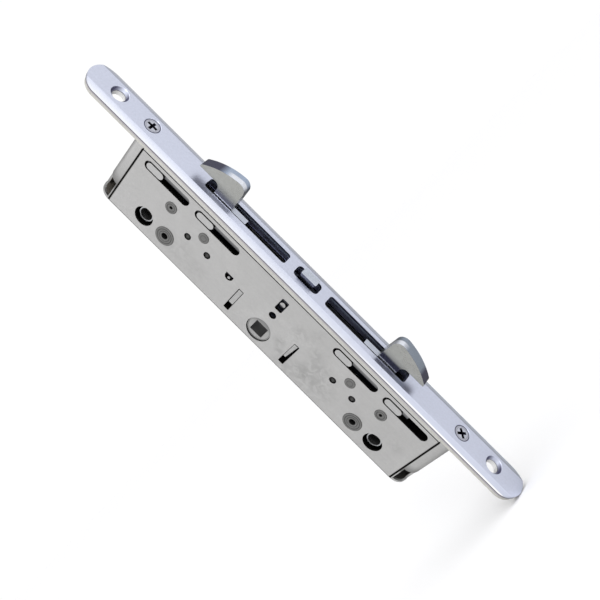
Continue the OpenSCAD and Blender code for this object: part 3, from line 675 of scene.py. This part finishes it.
class DOORLOCK_OT_finishes(bpy.types.Operator):
    """Makes the metals and plastics, and gives them to the CAD nodes"""
    bl_idname = "door_lock.finishes"
    bl_label = "Finishes"

    def execute(self, context):
        s = context.scene.door_lock
        GROUPS["grain"] = make_grain_group()
        GROUPS["wear"] = make_wear_group()
        GROUPS["specks"] = make_speckle_group()
        GROUPS["distance"] = make_distance_group()
        MATERIALS.update(self.face_metals(tuple(s.face_colour)), **self.case_metals(tuple(s.case_colour)),
            **self.hook_metals(tuple(s.hook_colour)), **self.rivet_metals(tuple(s.rivet_colour)),
            **self.zinc_metals(), **self.inner_metals(), black_nylon=make_nylon("Black nylon", NAVY_BLACK))
        for part in frame["record"]["subparts"]:
            wear_material(NODES[part["node"]], part["material_slot"])
        return {"FINISHED"}

    def face_metals(self, face):
        door_hole = (0, 0, DOOR_HOLE_Z)
        # Painted sheen on the sloped faces, painted shade low on the slope by the cover, a brighter painted
        # sheen low on the far slope, and a painted highlight line low on the slope by the cover
        bevel_painted_sheen = away(MIDDLE, 7.4, 10.6, ACROSS)
        cover_bevel_painted_shade = both(along(1, -7.3, -8.0), along(2, 70, -100))
        far_bevel_painted_sheen = both(along(1, 7.3, 8.0), along(2, -15, -60))
        cover_edge_painted_highlight = both(along(1, -10.0, -10.4), along(2, -20, -80))
        # The sunk cones of the door holes are painted a little darker, and much darker at their ends along
        # the faceplate, as painted shade
        sink = ring(door_hole, 3.7, 5.1, 0.15, ROUND_X)
        sink_painted_shade = both(sink, away(door_hole, 1.6, 4.2, UPRIGHT))
        # A painted shade line on the back edge of the faceplate, above the backing strip
        plate_back_painted_shade = along(0, -1.75, -2.0)
        # Inside the slots the walls are painted dark navy as shade, lighter and bluer further in
        slots = both(away(MIDDLE, 5.2, 4.9, ACROSS), away(MIDDLE, 76, 75, UPRIGHT))
        silver = make_metal("Satin silver", face, 0.34, 0.08, 0.95, 1.2, wear=0.4, specks=0.03, bump=0.06,
            line_scale=1500.0, blotch_scale=45.0, paints=[
                (bevel_painted_sheen, (0.78, 0.80, 0.86), None),
                (cover_bevel_painted_shade, (0.57, 0.6, 0.71), None),
                (far_bevel_painted_sheen, (0.83, 0.88, 1.0), None),
                (cover_edge_painted_highlight, (0.98, 0.98, 1.0), None),
                (sink, shade(face, 0.9), 0.5),
                (sink_painted_shade, (0.1, 0.1, 0.16), 0.45),
                (plate_back_painted_shade, (0.2, 0.18, 0.21), 0.5),
                (both(slots, along(0, -0.2, -0.4)), (0.08, 0.08, 0.16), 0.5),
                (both(slots, along(0, -0.9, -1.2)), (0.26, 0.3, 0.38), 0.5)])
        strip = make_metal("Backing steel", (0.68, 0.67, 0.63), 0.42, wear=0.4, dark=0.85, specks=0.2,
            paints=[
                # Painted shade: a dark line where the strip meets the faceplate under a darker front band, a
                # bluish shade on its slot walls, and painted light round the door holes
                (along(0, -2.85, -2.4), (0.26, 0.24, 0.26), None),
                (along(0, -3.9, -3.6), (0.6, 0.58, 0.6), None),
                (slots, (0.5, 0.53, 0.75), None),
                (away(door_hole, 5.0, 4.6, ROUND_X), (0.95, 0.95, 0.95), 0.6)])
        return {"face_silver": silver, "plated_steel": strip}

    def case_metals(self, case):
        # black is painted as shade inside the case, at the seams and on the cover's inner side and edges
        black = (0.02, 0.019, 0.017)
        end_centre = (0, 0, SEAM_Z)
        before_rear = along(0, -51.7, -51.4)
        # inside_end is the inside of the rounded ends and inside_bay the rest of the inside; both are painted
        # as shade, the ends dark brown, darker at the lower end and black towards the faceplate, the rest
        # black
        inside_end = both(away(end_centre, 6.9, 6.6, ROUND_X), away(MIDDLE, 106.2, 106.4, UPRIGHT),
            before_rear)
        inside_bay = both(away(MIDDLE, 6.7, 6.5, ACROSS), away(MIDDLE, 106.4, 106.2, UPRIGHT),
            before_rear)
        # Painted shade: the tip of the upper end is darker, the upper end darkens towards the rear, and both
        # ends are darker beside their windows
        upper_end_painted_shade = both(away(end_centre, 6.9, 7.3, ROUND_X), along(2, 111.0, 114.5))
        past_seam = away(MIDDLE, 106.3, 106.8, UPRIGHT)
        painted_shade_by_window = both(past_seam, along(0, -34, -41), along(0, -45, -43))
        # seam: the shell's parts under the cover's edge, painted black as shade
        seam = both(away(MIDDLE, 106.7, 106.5, UPRIGHT), along(1, -6.0, -6.6), along(0, -8.2, -8.6))
        shell = make_metal("Plated case steel", case, 0.4, dark=0.88, wear=0.5, specks=0.15,
            line_scale=700.0, blotch_scale=70.0, paints=[
                (upper_end_painted_shade, shade(case, 0.55), None),
                (both(past_seam, along(0, -22, -40), along(2, 0, 1)), shade(case, 0.8), None),
                (painted_shade_by_window, shade(case, 0.4), None),
                # Painted shade inside the case
                (inside_end, (0.22, 0.2, 0.175), 0.7),
                (both(inside_end, along(2, 0, -1)), (0.09, 0.085, 0.08), 0.7),
                (both(inside_end, along(0, -43.5, -41.5)), black, 0.7),
                (either(inside_bay, seam), black, 0.7)])
        # rim: a painted shade line along the cover's rear edge and at its ends
        rim = either(along(0, -52.2, -52.7), away(MIDDLE, 105.2, 105.6, UPRIGHT))
        # walls: the cover's inner side and edges, painted black as shade; hub_wall: the wall of its hub hole,
        # painted dark grey as shade
        walls = both(either(facing(1, 0.75, 0.4), along(1, -7.85, -7.6)), along(0, -52.6, -52.2))
        hub_wall = both(walls, away((SPINDLE_X, 0, 0), 8.4, 8.2))
        cover = make_metal("Plated cover steel", case, 0.42, dark=0.9, wear=0.3, specks=0.2,
            line_scale=600.0, blotch_scale=75.0, paints=[
                *((smudge((x, 0, z), reach), shade(case, share), None) for x, z, reach, share in SMUDGES),
                (rim, shade(case, 0.35), None),
                # Painted highlight on the cover's strip beside the faceplate
                (along(0, -8.5, -8.2), shade(case, 1.25), None),
                (walls, black, 0.6),
                (hub_wall, (0.12, 0.12, 0.12), 0.5)])
        return {"case_steel": shell, "cover_steel": cover}

    def hook_metals(self, hook):
        pivot = (PIVOT_X, 0, PIVOT_Z)
        upper, lower = along(2, 0, 1), along(2, 0, -1)
        side, thrown = facing(1, 0.6, 0.9), away(pivot, 32, 34)
        # rim is the hook's curved outer face; it, strip, tip and edge carry painted reflections: bluish,
        # greyer on the lower hook, a light strip, a dark tip and dark lines along its rounded edges
        rim = both(facing(1, 0.75, 0.45), thrown)
        strip = both(rim, along(1, 0.4, -0.4),
            either(both(upper, along(2, 66, 63)), both(lower, along(2, -60, -56))))
        tip = both(rim, either(along(2, 66, 70), along(2, -71.5, -74)))
        edge = both(facing(1, 0.98, 0.9), facing(1, 0.45, 0.6), thrown)
        # heel: a painted sheen on the faces round the pivot that look along X
        heel = both(facing(0, 0.8, 0.95), away(pivot, 30, 28))
        metal = make_metal("Plated hook steel", hook, 0.3, 0.12, 0.85, 1.5, wear=0.5, specks=0.15,
            stretch=(0.2, 1, 0.2), line_scale=1400.0, blotch_scale=160.0, paints=[
                # Painted shade on the hook's flat sides, darker towards the faceplate and darkest on the
                # lower hook, with a painted highlight line at their foot
                (both(side, along(0, 8.0, 1.4)), shade(hook, 0.45), None),
                (both(side, along(0, 4.6, 2.8)), (0.14, 0.14, 0.16), None),
                (both(side, along(0, 5.4, 3.9), lower), (0.045, 0.045, 0.07), None),
                (both(side, along(0, 1.1, 0.8)), (0.85, 0.86, 0.9), None),
                # Painted reflections on the hook's outer face
                (rim, (0.4, 0.47, 0.6), 0.25),
                (both(rim, lower), (0.28, 0.32, 0.38), 0.25),
                (strip, (0.85, 0.88, 0.96), 0.25),
                (tip, (0.08, 0.08, 0.12), 0.35),
                (edge, (0.12, 0.12, 0.15), 0.4),
                (heel, (0.62, 0.66, 0.76), 0.3),
                # Painted shade where the hook goes below the faceplate's face
                (along(0, -0.2, -1.2), NAVY_BLACK, 0.6)])
        return {"hook_steel": metal}

    def rivet_metals(self, rivet):
        plain = {"stretch": (1, 1, 1), "line_scale": 1800.0, "blotch_scale": 400.0, "wear": 0.7, "dark": 0.7}
        # groove: painted shade in the rolled grooves and the bored middles of the spacer, cover and pivot
        # rivets
        groove = shade(rivet, 0.42)
        made = {}
        for key, name, centre, head, grooves in (
                ("big_rivet_steel", "Rolled rivet steel", BIG_RIVET, BIG_HEAD_R,
                    ((0, 2.0), (2.9, 3.2), (4.2, 4.6))),
                ("cover_rivet_steel", "Cover rivet steel", COVER_RIVET, COVER_HEAD_R, ((0, 1.0), (2.2, 2.5))),
                ("pivot_steel", "Pivot steel", (PIVOT_X, PIVOT_Z), PIVOT_HEAD_R, ((1.6, 1.8),))):
            place = (centre[0], 0, centre[1])
            paints = [(ring(place, inner, outer), groove, 0.5) for inner, outer in grooves]
            # and a painted shade ring at the edge of each head
            paints.append((away(place, head - 0.45, head - 0.05), shade(rivet, 0.55), 0.5))
            made[key] = make_metal(name, rivet, 0.4, specks=0.35, paints=paints, **plain)
        centres = either(*(away((PAD_RIVET_X, 0, PIVOT_Z + side * PAD_RIVET_HALF_GAP), 0.9, 0.7)
            for side in (1, -1)))
        made["pad_rivet_steel"] = make_metal("Pad rivet steel", shade(rivet, 0.22), 0.45, specks=0.3,
            paints=[(centres, groove, 0.4)], **plain)
        made["rivet_steel"] = make_metal("Plain rivet steel", rivet, 0.4, specks=0.35, **plain)
        return made

    def zinc_metals(self):
        post, screw = (HANDLE_POST[0], 0, HANDLE_POST[1]), (0, 0, FACE_SCREW_Z)
        bright, grey = (0.62, 0.63, 0.65), (0.5, 0.5, 0.5)
        # thread is painted shade in the handle posts' bores, nearly black further in
        thread = (0.05, 0.05, 0.05)
        made = {}
        for key, name, colour, roughness, specks, paints in (
                ("bright_steel", "Bright zinc", bright, 0.28, 0.15, []),
                ("post_steel", "Post zinc", shade(bright, 0.9), 0.3, 0.2, [
                    (both(away(post, 3.8, 3.6), along(1, -7.9, -7.6)), thread, 0.5),
                    (away(post, 3.5, 3.3), PAINTED_BORE_SHADE, 0.6),
                    (along(1, -4.0, -2.0), thread, 0.6)]),
                ("screw_zinc", "Screw zinc", (0.56, 0.58, 0.66), 0.3, 0.2, [
                    # Painted shade on the screw heads: a darker ring, a dark outline and a black cross
                    # recess; the outer edge takes the faceplate's silver
                    (ring(screw, 3.3, 3.7, 0.25, ROUND_X), (0.36, 0.36, 0.42), None),
                    (away(screw, 3.95, 4.3, ROUND_X), (0.05, 0.05, 0.09), 0.5),
                    (both(away(screw, 4.6, 4.7, ROUND_X), along(0, -0.4, -0.3)), SILVER, 0.34),
                    (both(along(0, -0.08, -0.3), away(screw, 3.9, 3.7, ROUND_X)),
                        (0.012, 0.012, 0.02), 0.6)]),
                ("boss_zinc", "Boss zinc", (0.58, 0.58, 0.58), 0.35, 0.2, [
                    # Painted shade on the boss's sides
                    (facing(1, 0.85, 0.4), (0.015, 0.015, 0.015), 0.6)]),
                ("carrier_zinc", "Carrier zinc", grey, 0.35, 0.2, [
                    # Painted shade on the carrier inside the case
                    (along(1, -7.3, -6.7), (0.012, 0.012, 0.014), 0.7)]),
                ("pin_zinc", "Pin zinc", grey, 0.3, 0.2, [
                    # Painted shade on the pin's far part
                    (along(0, -18.4, -19.2), (0.05, 0.05, 0.06), 0.5)]),
                ("plunger_zinc", "Plunger zinc", (0.55, 0.59, 0.67), 0.3, 0.1, [
                    # Painted shade on the plunger's sides, and dark navy where it goes below the faceplate's
                    # face
                    (facing(0, 0.8, 0.5), (0.2, 0.21, 0.26), None),
                    (along(0, 0.2, -0.8), NAVY_BLACK, 0.6)])):
            made[key] = make_metal(name, colour, roughness, specks=specks, paints=paints,
                stretch=(1, 1, 0.3), line_scale=1200.0, blotch_scale=250.0, wear=0.6)
        return made

    def inner_metals(self):
        """The metals of the bars, the cast pieces, the follower and the springs."""
        cast = {"stretch": (1, 1, 1), "line_scale": 2200.0, "blotch_scale": 300.0}
        hub = (SPINDLE_X, 0, 0)
        lit_side = both(facing(1, 0.7, 0.95), along(0, -14.9, -12.3))
        square_wall = both(square_about(SPINDLE_X, 4.15, 4.0), along(1, -7.2, -7.0))
        return {
            # Painted shade: the bars are coloured nearly black for the shade inside the case, and lit_side
            # paints light on the strip of their side seen lit through the cover's slots
            "bar_steel": make_metal("Drive bar steel", (0.04, 0.042, 0.055), 0.45, worn=3.0, wear=0.4,
                specks=0.3, blotch_scale=180.0, paints=[(lit_side, (0.34, 0.34, 0.34), 0.4)]),
            "die_cast": make_metal("Die cast zinc", (0.16, 0.15, 0.13), 0.5, bump=0.2, specks=0.5, **cast),
            "hub_zinc": make_metal("Hub zinc", (0.48, 0.48, 0.475), 0.42, bump=0.15, specks=0.2, **cast,
                paints=[
                    # Painted shade on the follower: a band on its faceplate side, a ring inside its rim, its
                    # rim in the cover's hole and the walls of its square hole
                    (along(0, -41, -37.5), (0.3, 0.3, 0.3), None),
                    (ring(hub, 6.5, 6.75), (0.25, 0.25, 0.25), None),
                    (away(hub, 7.1, HUB_R), (0.05, 0.05, 0.05), 0.5),
                    (square_wall, (0.2, 0.2, 0.2), 0.6)]),
            "spring_steel": make_metal("Spring steel", (0.4, 0.4, 0.42), 0.3, specks=0.3,
                blotch_scale=200.0)}


class DOORLOCK_OT_faceplate(bpy.types.Operator):
    """Models the faceplate and its backing plate"""
    bl_idname = "door_lock.faceplate"
    bl_label = "Faceplate"

    def execute(self, context):
        soft = context.scene.door_lock.edge_round / MM
        plate = stadium("satin_faceplate", FACE_HALF_W, FACE_HALF_LEN, -FACE_T, 0)
        drop = Vector((FACE_HALF_W - LAND_HALF_W, BEVEL_DROP)).normalized()
        for side in (1, -1):
            edit_all(plate)
            bpy.ops.mesh.bisect(plane_co=(0, side * LAND_HALF_W * MM, 0), plane_no=(drop.x, side * drop.y, 0),
                clear_outer=True, use_fill=True)
            leave_edit()
        self.cut_openings(plate, True)
        seat(soften(plate, soft, 3, 12, 30), "case", "face_silver", "faceplate")
        back = stadium("backing_strip", FACE_HALF_W - BACK_INSET, FACE_HALF_LEN - BACK_INSET,
            -FACE_T - BACK_T, -FACE_T)
        self.cut_openings(back, False)
        seat(soften(back, soft * 1.2, 2, 30, 36), "case", "plated_steel", "backing_plate")
        return {"FINISHED"}

    def cut_openings(self, plate, sunk):
        """Cuts the slots and the holes, with sunk edges at the door holes where sunk says so."""
        x0, x1 = -FACE_T - BACK_T - 1, 1
        for z in (HOOK_SLOT_Z, -HOOK_SLOT_Z):
            combine(plate, rounded_slot("slot cutter", z, SLOT_W, HOOK_SLOT_LEN, 1.8, x0, x1))
        combine(plate, rounded_slot("plunger cutter", 0, SLOT_W, PLUNGER_SLOT_LEN, 2.4, x0, x1))
        for side in (1, -1):
            hole_z, screw_z = side * DOOR_HOLE_Z, side * FACE_SCREW_Z
            combine(plate, rod("hole cutter", (HOLE_MIDDLE, 0, hole_z), DOOR_HOLE_R, HOLE_DEPTH))
            combine(plate, rod("screw cutter", (HOLE_MIDDLE, 0, screw_z), SCREW_HOLE_R, HOLE_DEPTH))
            combine(plate, cone("screw sink", screw_z, SCREW_SINK))
            if sunk:
                combine(plate, cone("hole sink", hole_z, DOOR_HOLE_SINK))


class DOORLOCK_OT_case(bpy.types.Operator):
    """Models the case, its cover and the pieces behind its holes"""
    bl_idname = "door_lock.case"
    bl_label = "Case"

    def execute(self, context):
        soft = context.scene.door_lock.edge_round / MM
        shell = softened_copy("case_shell", "case_base", soft, shape=self.close_corners)
        seat(shell, "case", "case_steel", "case_base")
        cover = softened_copy("cover_plate", "case_cover", soft * 0.7, shape=self.fold_cover)
        seat(cover, "case", "case_steel", "case_cover", finish="cover_steel")
        for name, node, slot, width, finish in (
                ("zinc_end_upper", "end_block_upper", "die_cast", 0.3, None),
                ("zinc_end_lower", "end_block_lower", "die_cast", 0.3, None),
                ("carrier_plate", "spring_carrier", "bright_steel", 0.15, "carrier_zinc"),
                ("leaf_spring_upper", "detent_spring_upper", "spring_steel", 0.1, None),
                ("leaf_spring_lower", "detent_spring_lower", "spring_steel", 0.1, None),
                ("plunger_housing", "plunger_guide", "black_nylon", 0.2, None),
                ("nylon_pad_upper", "hook_pad_upper", "black_nylon", 0.2, None),
                ("nylon_pad_lower", "hook_pad_lower", "black_nylon", 0.2, None)):
            seat(softened_copy(name, node, width), "case", slot, node, finish=finish)
        return {"FINISHED"}

    def close_corners(self, shell):
        """Fills the rear corner of each seam, so that no light shows through it."""
        for side in (1, -1):
            ends = sorted((side * (SEAM_Z - 0.8), side * (SEAM_Z + 0.2)))
            combine(shell, box("corner filler", (-52.85, -7.95, ends[0]), (-51.2, -6.3, ends[1])), "UNION")

    def fold_cover(self, cover):
        """Sinks the fold line beside the faceplate, and gives the half-moon hole its flat side."""
        x0, x1 = FOLD_LINE
        combine(cover, box("fold cutter", (x0, -9, -107), (x1, -7.2, 107)))
        combine(cover, box("flat side", (-28.7, -SKIN, 27.5), (-27.2, -INSIDE, 33.6)), "UNION")


class DOORLOCK_OT_screws(bpy.types.Operator):
    """Models the two cross-headed screws of the faceplate"""
    bl_idname = "door_lock.screws"
    bl_label = "Face screws"

    def execute(self, context):
        rings = [(0.9, -15), (SHANK_R, -14)]
        for i in range(12):
            rings += [(SHANK_R, -13.6 + i * 0.7), (1.25, -13.25 + i * 0.7)]
        rings += [(SHANK_R, -5.0), *SCREW_HEAD]
        for name, node, side, turn in (
                ("face_screw_top", "face_screw_upper", 1, 0),
                ("face_screw_foot", "face_screw_lower", -1, 45)):
            z = side * FACE_SCREW_Z
            screw = turned(name, (0, 0, z), "x", rings)
            for quarter in (0, 90):
                combine(screw, self.recess_blade(z, quarter + turn))
            seat(soften(screw, 0.06, 2, 35, 36), "case", "bright_steel", node, finish="screw_zinc")
        return {"FINISHED"}

    def recess_blade(self, z, angle):
        """One bar of the cross recess. It narrows towards its foot."""
        foot, half_len, half_w = -2.1, 3.4, 0.85
        blade = box("recess cutter", (foot, -half_len, -half_w), (0.5, half_len, half_w))
        pick(blade, "polygons", lambda f: f.normal.x < -0.9)
        bpy.ops.transform.resize(value=(1, 0.45, 0.7), center_override=(foot * MM, 0, 0))
        leave_edit()
        blade.rotation_euler = (math.radians(angle), 0, 0)
        blade.location = (0, 0, z * MM)
        return settle(blade)


class DOORLOCK_OT_rivets(bpy.types.Operator):
    """Turns the rivets, the hook pivots and the handle posts"""
    bl_idname = "door_lock.rivets"
    bl_label = "Rivets and posts"

    def execute(self, context):
        for side, word in ((1, "upper"), (-1, "lower")):
            big = self.hollow_rivet("spacer_rivet_" + word, BIG_RIVET, side, BIG_HEAD_R, 3.4, 4.6, 1.9)
            seat(soften(big, 0), "case", "rivet_steel", "big_rivet_" + word, finish="big_rivet_steel")
            thin = self.hollow_rivet("case_rivet_" + word, COVER_RIVET, side, COVER_HEAD_R, 2.1, 2.6, 0.9)
            seat(soften(thin, 0), "case", "rivet_steel", "cover_rivet_" + word, finish="cover_rivet_steel")
            pivot = turned("pivot_stud_" + word, (PIVOT_X, 0, side * PIVOT_Z), "-y", PIVOT_STUD)
            seat(soften(pivot, 0), "case", "rivet_steel", "hook_pivot_" + word, finish="pivot_steel")
            post = self.post("threaded_post_" + word, side)
            seat(soften(post, 0, smooth=30), "case", "bright_steel", "handle_post_" + word,
                finish="post_steel")
        heads = []
        for side in (1, -1):
            for end in (1, -1):
                z = side * PIVOT_Z + end * PAD_RIVET_HALF_GAP
                heads.append(turned("pad_rivet_heads", (PAD_RIVET_X, 0, z), "-y", PAD_RIVET, sides=40))
        take(heads[0])
        for head in heads:
            head.select_set(True)
        bpy.ops.object.join()
        seat(soften(heads[0], 0), "case", "rivet_steel", "pad_rivets", finish="pad_rivet_steel")
        return {"FINISHED"}

    def hollow_rivet(self, name, place, side, head, shank, sleeve, hole):
        """A rivet with a rolled ring on each head, through both case sides."""
        ring = hole + (head - hole) * 0.38
        half = [(head, SKIN), (head, 8.12), (head - 0.2, 8.3), (ring + 0.5, 8.35), (ring + 0.15, 8.2),
            (ring - 0.2, 8.2), (ring - 0.45, 8.33), (hole + 0.3, 8.3), (hole, 8.05)]
        rings = [(hole, -8.05)] + [(r, -a) for r, a in half[::-1][1:]]
        rings += [(shank, -SKIN), (shank, -INSIDE), (sleeve, -INSIDE), (sleeve, INSIDE), (shank, INSIDE),
            (shank, SKIN)]
        rings += half + [(hole, -8.05)]
        return turned(name, (place[0], 0, side * place[1]), "-y", rings, bored=True)

    def post(self, name, side):
        """A handle post with a thread in its bore."""
        mouth, collar, bore, groove = 3.6, 5.65, 3.3, 3.68
        rings = [(mouth, -SKIN), (POST_R, -SKIN), (POST_R, -INSIDE), (collar, -INSIDE), (collar, -5.0),
            (POST_R, -5.0), (POST_R, 5.45), (4.3, 5.65), (3.75, 5.65), (3.35, 5.3)]
        a = 5.1
        while a > -7.2:
            rings += [(bore, a), (bore, a - 0.15), (groove, a - 0.45), (bore, a - 0.75)]
            a -= 0.8
        rings += [(bore, -7.7), (mouth, -SKIN)]
        return turned(name, (HANDLE_POST[0], 0, side * HANDLE_POST[1]), "-y", rings, bored=True)


class DOORLOCK_OT_mechanism(bpy.types.Operator):
    """Models the hooks, the drive bars, the follower and the plunger"""
    bl_idname = "door_lock.mechanism"
    bl_label = "Mechanism"

    def execute(self, context):
        hook_soft = context.scene.door_lock.hook_round / MM
        for name, node, body, slot, width, segments, finish in (
                ("hook_upper", "upper_hook", "upper_hook_body", "hook_steel", hook_soft, 3, None),
                ("hook_lower", "lower_hook", "lower_hook_body", "hook_steel", hook_soft, 3, None),
                ("front_bar", "front_drive_bar", "drive_bars", "bar_steel", 0.15, 2, None),
                ("rear_bar", "rear_drive_bar", "drive_bars", "bar_steel", 0.1, 2, None),
                *((f"boss_{i}", f"guide_boss_{i}", "drive_bars", "bright_steel", 0.25, 3, "boss_zinc")
                    for i in range(1, 5)),
                ("plunger_head", "plunger", "plunger_body", "bright_steel", 0.35, 3, "plunger_zinc"),
                ("plunger_cross_pin", "plunger_pin", "plunger_body", "bright_steel", 0.2, 2, "pin_zinc")):
            seat(softened_copy(name, node, width, segments), body, slot, node, finish=finish)
        hub = softened_copy("follower_hub", "follower", 0)
        edit_all(hub)
        bpy.ops.mesh.vert_connect_concave()
        leave_edit()

        def on_rim(edge):
            ends = [hub.data.vertices[i].co for i in edge.vertices]
            return all(end.y < -7.2 * MM and math.hypot(end.x - SPINDLE_X * MM, end.z) > 7 * MM
                for end in ends)

        pick(hub, "edges", on_rim)
        bpy.ops.mesh.bevel(offset=0.3 * MM, segments=2, affect="EDGES")
        leave_edit()
        seat(soften(hub, 0.12, 2), "follower_body", "die_cast", "follower", finish="hub_zinc")
        return {"FINISHED"}


class DOORLOCK_OT_stage(bpy.types.Operator):
    """Sets up the floor, the room light, the lamps and the camera"""
    bl_idname = "door_lock.stage"
    bl_label = "Stage"

    def execute(self, context):
        s = context.scene.door_stage
        scene = context.scene
        clear_selection()
        level = CAD_BOX[0][2] - s.floor_drop
        bpy.ops.mesh.primitive_plane_add(size=FLOOR_SIZE, location=(0, 0, level))
        floor = added("pale_floor")
        floor.data.materials.append(self.make_floor_paint())
        self.light_room(scene, s.room_level)
        self.place_lamps(s.top_light)
        self.place_camera(scene, s)
        scene.view_settings.view_transform = "Standard"
        scene.view_settings.look = "None"
        return {"FINISHED"}

    def lobes(self, tree, place, level):
        """A brightness that is higher before the faceplate and lower behind the lock."""
        way = vectors(tree, "NORMALIZE", vectors(tree, "MULTIPLY", place, (1, 1, 0)))
        total = level
        for degrees, power, share in ROOM_LOBES:
            azimuth = math.radians(degrees)
            lobe = vectors(tree, "DOT_PRODUCT", way, (math.cos(azimuth), math.sin(azimuth), 0))
            shape = maths(tree, "POWER", maths(tree, "MAXIMUM", lobe, 0.0), power)
            total = maths(tree, "ADD", maths(tree, "MULTIPLY", shape, share), total)
        return total

    def make_floor_paint(self):
        """Pale paint. Where the metal mirrors it, its colour is painted with the room's brighter and darker
        sides, a painted reflection.
        """
        paint, tree, shader, place = new_material("Pale floor")
        shader.inputs["Roughness"].default_value = 0.9
        mirrored = self.lobes(tree, place, 0.72)
        tint = tree.nodes.new("ShaderNodeCombineColor")
        for channel in tint.inputs:
            tree.links.new(mirrored, channel)
        glossy = tree.nodes.new("ShaderNodeLightPath").outputs["Is Glossy Ray"]
        base = blend_colour(tree, glossy, FLOOR_COLOUR, tint.outputs[0])
        tree.links.new(base, shader.inputs["Base Color"])
        return paint

    def light_room(self, scene, level):
        """A white room that the camera sees as plain white."""
        world = bpy.data.worlds.new("White room")
        scene.world = world
        world.use_nodes = True
        tree = world.node_tree
        shine = tree.nodes["Background"]
        total = self.lobes(tree, tree.nodes.new("ShaderNodeTexCoord").outputs["Generated"], level)
        seen = tree.nodes.new("ShaderNodeLightPath").outputs["Is Camera Ray"]
        strength = maths(tree, "MAXIMUM", total, maths(tree, "MULTIPLY", seen, 1.02))
        tree.links.new(strength, shine.inputs["Strength"])
        shine.inputs["Color"].default_value = (1, 1, 1, 1)

    def place_lamps(self, top_light):
        """A wide soft light from above, and a panel that lights the faceplate's edges."""
        clear_selection()
        bpy.ops.object.light_add(type="SUN", location=(0, 0, 1))
        lamp = added("Top light")
        lamp.data.energy = top_light
        lamp.data.angle = math.radians(70)
        clear_selection()
        bpy.ops.object.light_add(type="AREA", location=PANEL_PLACE)
        lamp = added("Edge panel")
        lamp.data.energy = 1.0
        lamp.data.size = 0.3
        lamp.rotation_euler = (-Vector(PANEL_PLACE)).to_track_quat("-Z", "Y").to_euler()

    def place_camera(self, scene, s):
        clear_selection()
        bpy.ops.object.camera_add(location=s.camera_place, rotation=s.camera_turn)
        camera = added("Photo camera")
        camera.data.sensor_width = 36
        camera.data.lens = s.lens
        camera.data.clip_start = 0.01
        scene.camera = camera


class DOORLOCK_PT_panel(bpy.types.Panel):
    """Lists the lock's settings and the steps that model it"""
    bl_idname = "DOORLOCK_PT_panel"
    bl_label = "Door lock"
    bl_space_type = "VIEW_3D"
    bl_region_type = "UI"
    bl_category = "Door lock"

    def draw(self, context):
        for settings in (context.scene.door_lock, context.scene.door_stage):
            for key in settings.__annotations__:
                self.layout.prop(settings, key)
        for step in STEPS:
            self.layout.operator(step.bl_idname)


STEPS = (DOORLOCK_OT_finishes, DOORLOCK_OT_faceplate, DOORLOCK_OT_case, DOORLOCK_OT_screws,
    DOORLOCK_OT_rivets, DOORLOCK_OT_mechanism, DOORLOCK_OT_stage)
CLASSES = (LockSettings, StageSettings, *STEPS, DOORLOCK_PT_panel)


def register():
    for item in CLASSES:
        bpy.utils.register_class(item)
    bpy.types.Scene.door_lock = bpy.props.PointerProperty(type=LockSettings)
    bpy.types.Scene.door_stage = bpy.props.PointerProperty(type=StageSettings)


def unregister():
    del bpy.types.Scene.door_stage
    del bpy.types.Scene.door_lock
    for item in reversed(CLASSES):
        bpy.utils.unregister_class(item)


def main():
    register()
    for step in ("finishes", "faceplate", "case", "screws", "rivets", "mechanism", "stage"):
        result = getattr(bpy.ops.door_lock, step)()
        if result != {"FINISHED"}:
            raise RuntimeError(f"{step} didn't finish")
    clear_selection()


if __name__ == "__main__":
    main()
